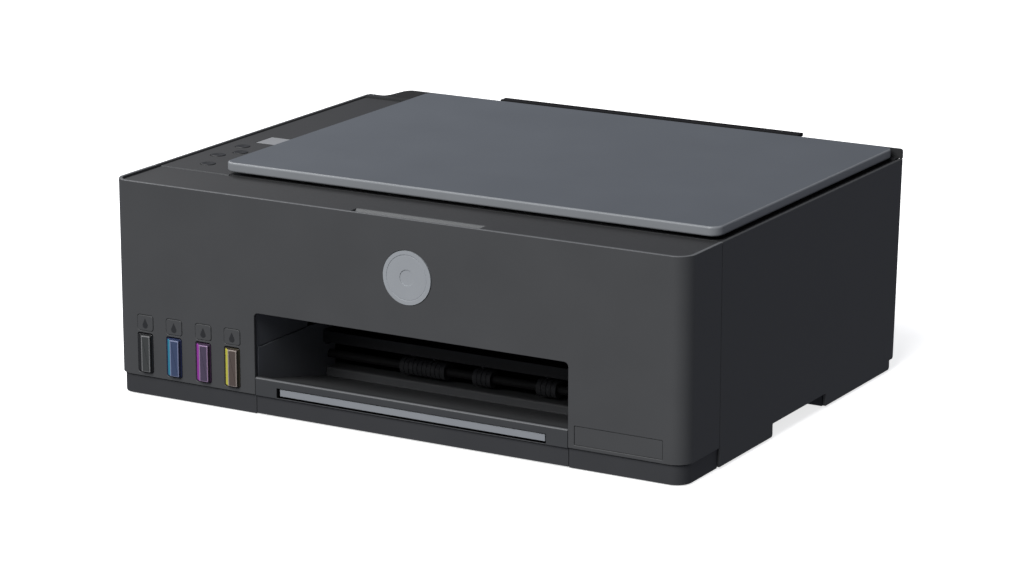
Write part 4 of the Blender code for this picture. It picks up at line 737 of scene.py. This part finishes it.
def make_output_tray():
    """Output mouth: lipped front plate with the slot, falling floor, step, shelf and side walls."""
    left, right = MOUTH_LEFT + GAP, MOUTH_RIGHT - GAP
    under = floor_z(SHELF_Y) - TRAY_SHEET
    profile = [(0.0, 13.1), (0.0, TRAY_LIP_Z - 1.2), *arc((1.2, TRAY_LIP_Z - 1.2), 1.2, 180, 90, 5),
               (3.5, TRAY_LIP_Z), (8.0, floor_z(8.0)), (SHELF_Y, floor_z(SHELF_Y)),
               (SHELF_Y + 0.8, SHELF_Z - 1.5), *arc((SHELF_Y + 2.4, SHELF_Z - 1.6), 1.6, 175, 90, 5),
               (SHELF_REAR_Y, SHELF_Z), (SHELF_REAR_Y, SHELF_Z - TRAY_SHEET),
               (SHELF_Y + 4.0, SHELF_Z - TRAY_SHEET), (SHELF_Y + 2.5, under), (SHELF_Y, under),
               (8.0, floor_z(8.0) - TRAY_SHEET), (3.0, floor_z(3.0) - TRAY_SHEET), (3.0, 0.4), (1.5, 0.4),
               (1.5, 13.1)]
    tray = prism("mouth_tray", "x", profile, left, right)
    shape(tray, "x", [(-1.0, SLOT_LOW + TRAY_FALL), (4.0, SLOT_LOW - 4.0 * TRAY_FALL),
                      (4.0, SLOT_HIGH - 4.0 * TRAY_FALL), (-1.0, SLOT_HIGH + TRAY_FALL)],
          SLOT_LEFT, SLOT_RIGHT)
    finish_piece(tray, "mouth", "housing", ["output_tray"], bevel=0.3)
    # painted light: the mouth's floor is a lighter copy of its plastic
    paint(tray, tone("tray_floor_painted_light"), lambda normal, at: at.y > 3.4 and normal.z > 0.2)
    # painted highlight: the top of the mouth's lip is painted lighter
    paint(tray, tone("rim_highlight"),
          lambda normal, at: at.z > TRAY_LIP_Z - 1.3 and normal.z > 0.2 and at.y < 1.3)
    # painted shade: the inside of the slot is painted near black
    paint(tray, tone("slot_shade_and_shaft_black"),
          lambda normal, at: (0.3 < at.y < 3.1 and SLOT_LEFT - 0.5 < at.x < SLOT_RIGHT + 0.5
                              and SLOT_LOW - 1.5 < at.z < SLOT_HIGH + 0.5 and normal.y > -0.3))
    paint(tray, tone("base_tone"), lambda normal, at: at.y < 3.1 and at.z < DOOR_BOTTOM_Z)
    wall = [(4.8, 3.6), (WALL_REAR_Y, 3.6), (WALL_REAR_Y, WALL_SEAM_Z), (66.0, WALL_SEAM_Z), (66.0, 69.5),
            (4.8, 69.5)]
    for name, side, edge in (("mouth_wall_left", -1, MOUTH_LEFT), ("mouth_wall_right", 1, MOUTH_RIGHT)):
        inner, outer = edge + side * 0.2, edge + side * 2.6
        cheek = prism(name, "x", wall, *sorted((inner, outer)))
        step = sorted((inner - side * 1.0, inner + side * 0.7))
        cut(cheek, ((step[0], 3.0, WALL_SEAM_Z), (step[1], 70.0, 75.0)))
        groove = sorted((inner, inner + side * 1.5))
        cut(cheek, ((groove[0], 7.0, WALL_SEAM_Z - 0.5), (groove[1], 64.0, WALL_SEAM_Z + 0.4)))
        # painted light: the side walls are a much lighter copy of the mouth's plastic
        finish_piece(cheek, "mouth", "housing", ["output_tray"], bevel=0.5, look=tone("tray_wall_painted_light"))


def make_extender():
    """Pull-out tray: a plate that follows the floor's slope, and the bright bar that closes the slot."""
    left, right = SLOT_LEFT + 0.5, SLOT_RIGHT - 0.5
    bar = prism("extender_bar", "x", [(0.9, 14.8), (5.0, 14.0), (5.0, 18.9), (0.9, 19.7)],
                left + 1.6, right - 0.6)
    finish_piece(bar, "extender", "tray_extender", ["tray_extender"], bevel=0.4)
    back_drop = TRAY_FALL * 57.0
    plate = prism("extender_plate", "x", [(4.9, 16.9), (61.9, 16.9 - back_drop), (61.9, 18.6 - back_drop),
                                          (4.9, 18.6)], left, right)
    finish_piece(plate, "extender", "tray_extender", ["tray_extender"], bevel=0.3)


def make_star_bar():
    """Bar above the output rollers, with its two hangers."""
    section = [(83.0, 30.2), (84.5, 30.2), (84.5, 36.6), (98.5, 36.6), (98.5, 38.2), (83.0, 38.2)]
    bar = prism("star_bar_skin", "x", section, MOUTH_LEFT + 0.4, MOUTH_RIGHT - 0.4)
    for x in (-102.0, 131.0):
        fuse(bar, ((x - 1.2, 84.0, 28.5), (x + 1.2, 96.0, 37.5)))
    finish_piece(bar, "inner_black", "housing", ["star_wheel_bar"], bevel=0.4)


def make_output_roller():
    """Output roller: a dark shaft with three ribbed rubber rolls."""
    y, z = OUTPUT_AXIS
    shaft = rod("output_shaft", "x", (-36.0, y, z), 2.9, 343.8, 32)
    finish_piece(shaft, "rubber", "output_roller", ["output_roller"], bevel=0.3, look=tone("slot_shade_and_shaft_black"))
    for index, (low, high) in enumerate(OUTPUT_ROLLS):
        roll = rod(f"output_roll_{index}", "x", ((low + high) / 2, y, z), 5.9, high - low)
        grooves = bmesh.new()
        count = int((high - low) / 3.5)
        for step in range(1, count):
            x = low + (high - low) * step / count
            add_prism(grooves, "x", arc((y, z), 7.5, 0, 350, 35) + arc((y, z), 5.3, 350, 0, 35),
                      x - 0.25, x + 0.25)
        boolean(roll, grooves)
        finish_piece(roll, "rubber", "output_roller", ["output_roller"], bevel=0.2, segments=2,
                     look=tone("roll_tone"))


def make_screws():
    """Cross-head screws in the base."""
    for index, (x, y) in enumerate(SCREW_PLACES):
        screw = rod(f"base_screw_{index}", "z", (x, y, 1.4), 3.7, 1.6, 36)
        cut(screw, ((x - 2.2, y - 0.4, -1.0), (x + 2.2, y + 0.4, 1.3)))
        cut(screw, ((x - 0.4, y - 2.2, -1.0), (x + 0.4, y + 2.2, 1.3)))
        finish_piece(screw, "steel", "housing", bevel=0.15, segments=2)


def dress_nodes():
    """Give every CAD node that still shows the finish of its slot."""
    for part in frame["record"]["subparts"]:
        node = frame["nodes"][part["node"]]
        if node.hide_render:
            continue
        node.data.materials.clear()
        node.data.materials.append(look_of(part["material_slot"]))


# ---------------------------------------------------------------- stage
def aim_lamp(lamp, at, towards):
    """Hang a lamp at a point, so that it shines back along a direction."""
    source = bpy.data.objects.new(lamp.name, lamp)
    source.location = at
    source.rotation_euler = (-towards).to_track_quat("-Z", "Y").to_euler()
    bpy.context.scene.collection.objects.link(source)


def make_stage():
    """Pale floor, soft light and the camera."""
    bm = bmesh.new()
    add_box(bm, (-FLOOR_HALF, -FLOOR_HALF, -1.0 - FLOOR_DEPTH), (FLOOR_HALF, FLOOR_HALF, -1.0))
    floor = object_of("studio_floor", bm)
    pale = bpy.data.materials.new("floor_white")
    pale.use_nodes = True
    shader = pale.node_tree.nodes["Principled BSDF"]
    shader.inputs["Base Color"].default_value = (0.93, 0.93, 0.93, 1.0)
    shader.inputs["Roughness"].default_value = 0.8
    shader.inputs["Specular IOR Level"].default_value = 0.1
    shader.inputs["Emission Color"].default_value = (1.0, 1.0, 1.0, 1.0)
    shader.inputs["Emission Strength"].default_value = 0.75
    floor.data.materials.append(pale)
    floor.visible_glossy = False
    floor.visible_diffuse = False
    world = bpy.data.worlds.new("studio")
    bpy.context.scene.world = world
    world.use_nodes = True
    nodes, links = world.node_tree.nodes, world.node_tree.links
    ambient = nodes["Background"]
    ambient.inputs["Color"].default_value = (0.90, 0.94, 1.08, 1.0)
    ambient.inputs["Strength"].default_value = AMBIENT
    backdrop = nodes.new("ShaderNodeBackground")
    backdrop.inputs["Color"].default_value = (1.0, 1.0, 1.0, 1.0)
    path = nodes.new("ShaderNodeLightPath")
    mix = nodes.new("ShaderNodeMixShader")
    links.new(path.outputs["Is Camera Ray"], mix.inputs["Fac"])
    links.new(ambient.outputs["Background"], mix.inputs[1])
    links.new(backdrop.outputs["Background"], mix.inputs[2])
    links.new(mix.outputs["Shader"], nodes["World Output"].inputs["Surface"])
    key = bpy.data.lights.new("key", "SUN")
    key.angle = math.radians(KEY_SPREAD)
    key.energy = KEY_POWER
    aim_lamp(key, Vector(KEY_TOWARDS) * 3.0, Vector(KEY_TOWARDS))
    fill = bpy.data.lights.new("fill", "AREA")
    fill.size = FILL_SIZE
    fill.energy = FILL_POWER
    aim_lamp(fill, place(*FILL_AT), place(*FILL_AT) - place(*FILL_AIM))
    eye = bpy.data.cameras.new("camera")
    eye.lens = CAMERA_LENS
    eye.sensor_width = 36.0
    eye.clip_end = 100.0
    camera = bpy.data.objects.new("camera", eye)
    camera.location = place(*CAMERA_AT)
    camera.rotation_euler = Vector(CAMERA_TOWARDS).to_track_quat("-Z", "Y").to_euler()
    bpy.context.scene.collection.objects.link(camera)
    bpy.context.scene.camera = camera
    bpy.context.scene.view_settings.view_transform = "Standard"


make_front_door()
make_door_marks()
make_emblem()
make_base()
make_side_covers()
make_top_strip()
make_control_panel()
make_bezel()
make_lid()
make_rear_cover()
make_rear_feed_housing()
make_paper_support()
make_tanks()
make_ink_windows()
make_output_tray()
make_extender()
make_star_bar()
make_output_roller()
make_screws()
dress_nodes()
make_stage()

bpy.context.view_layer.update()
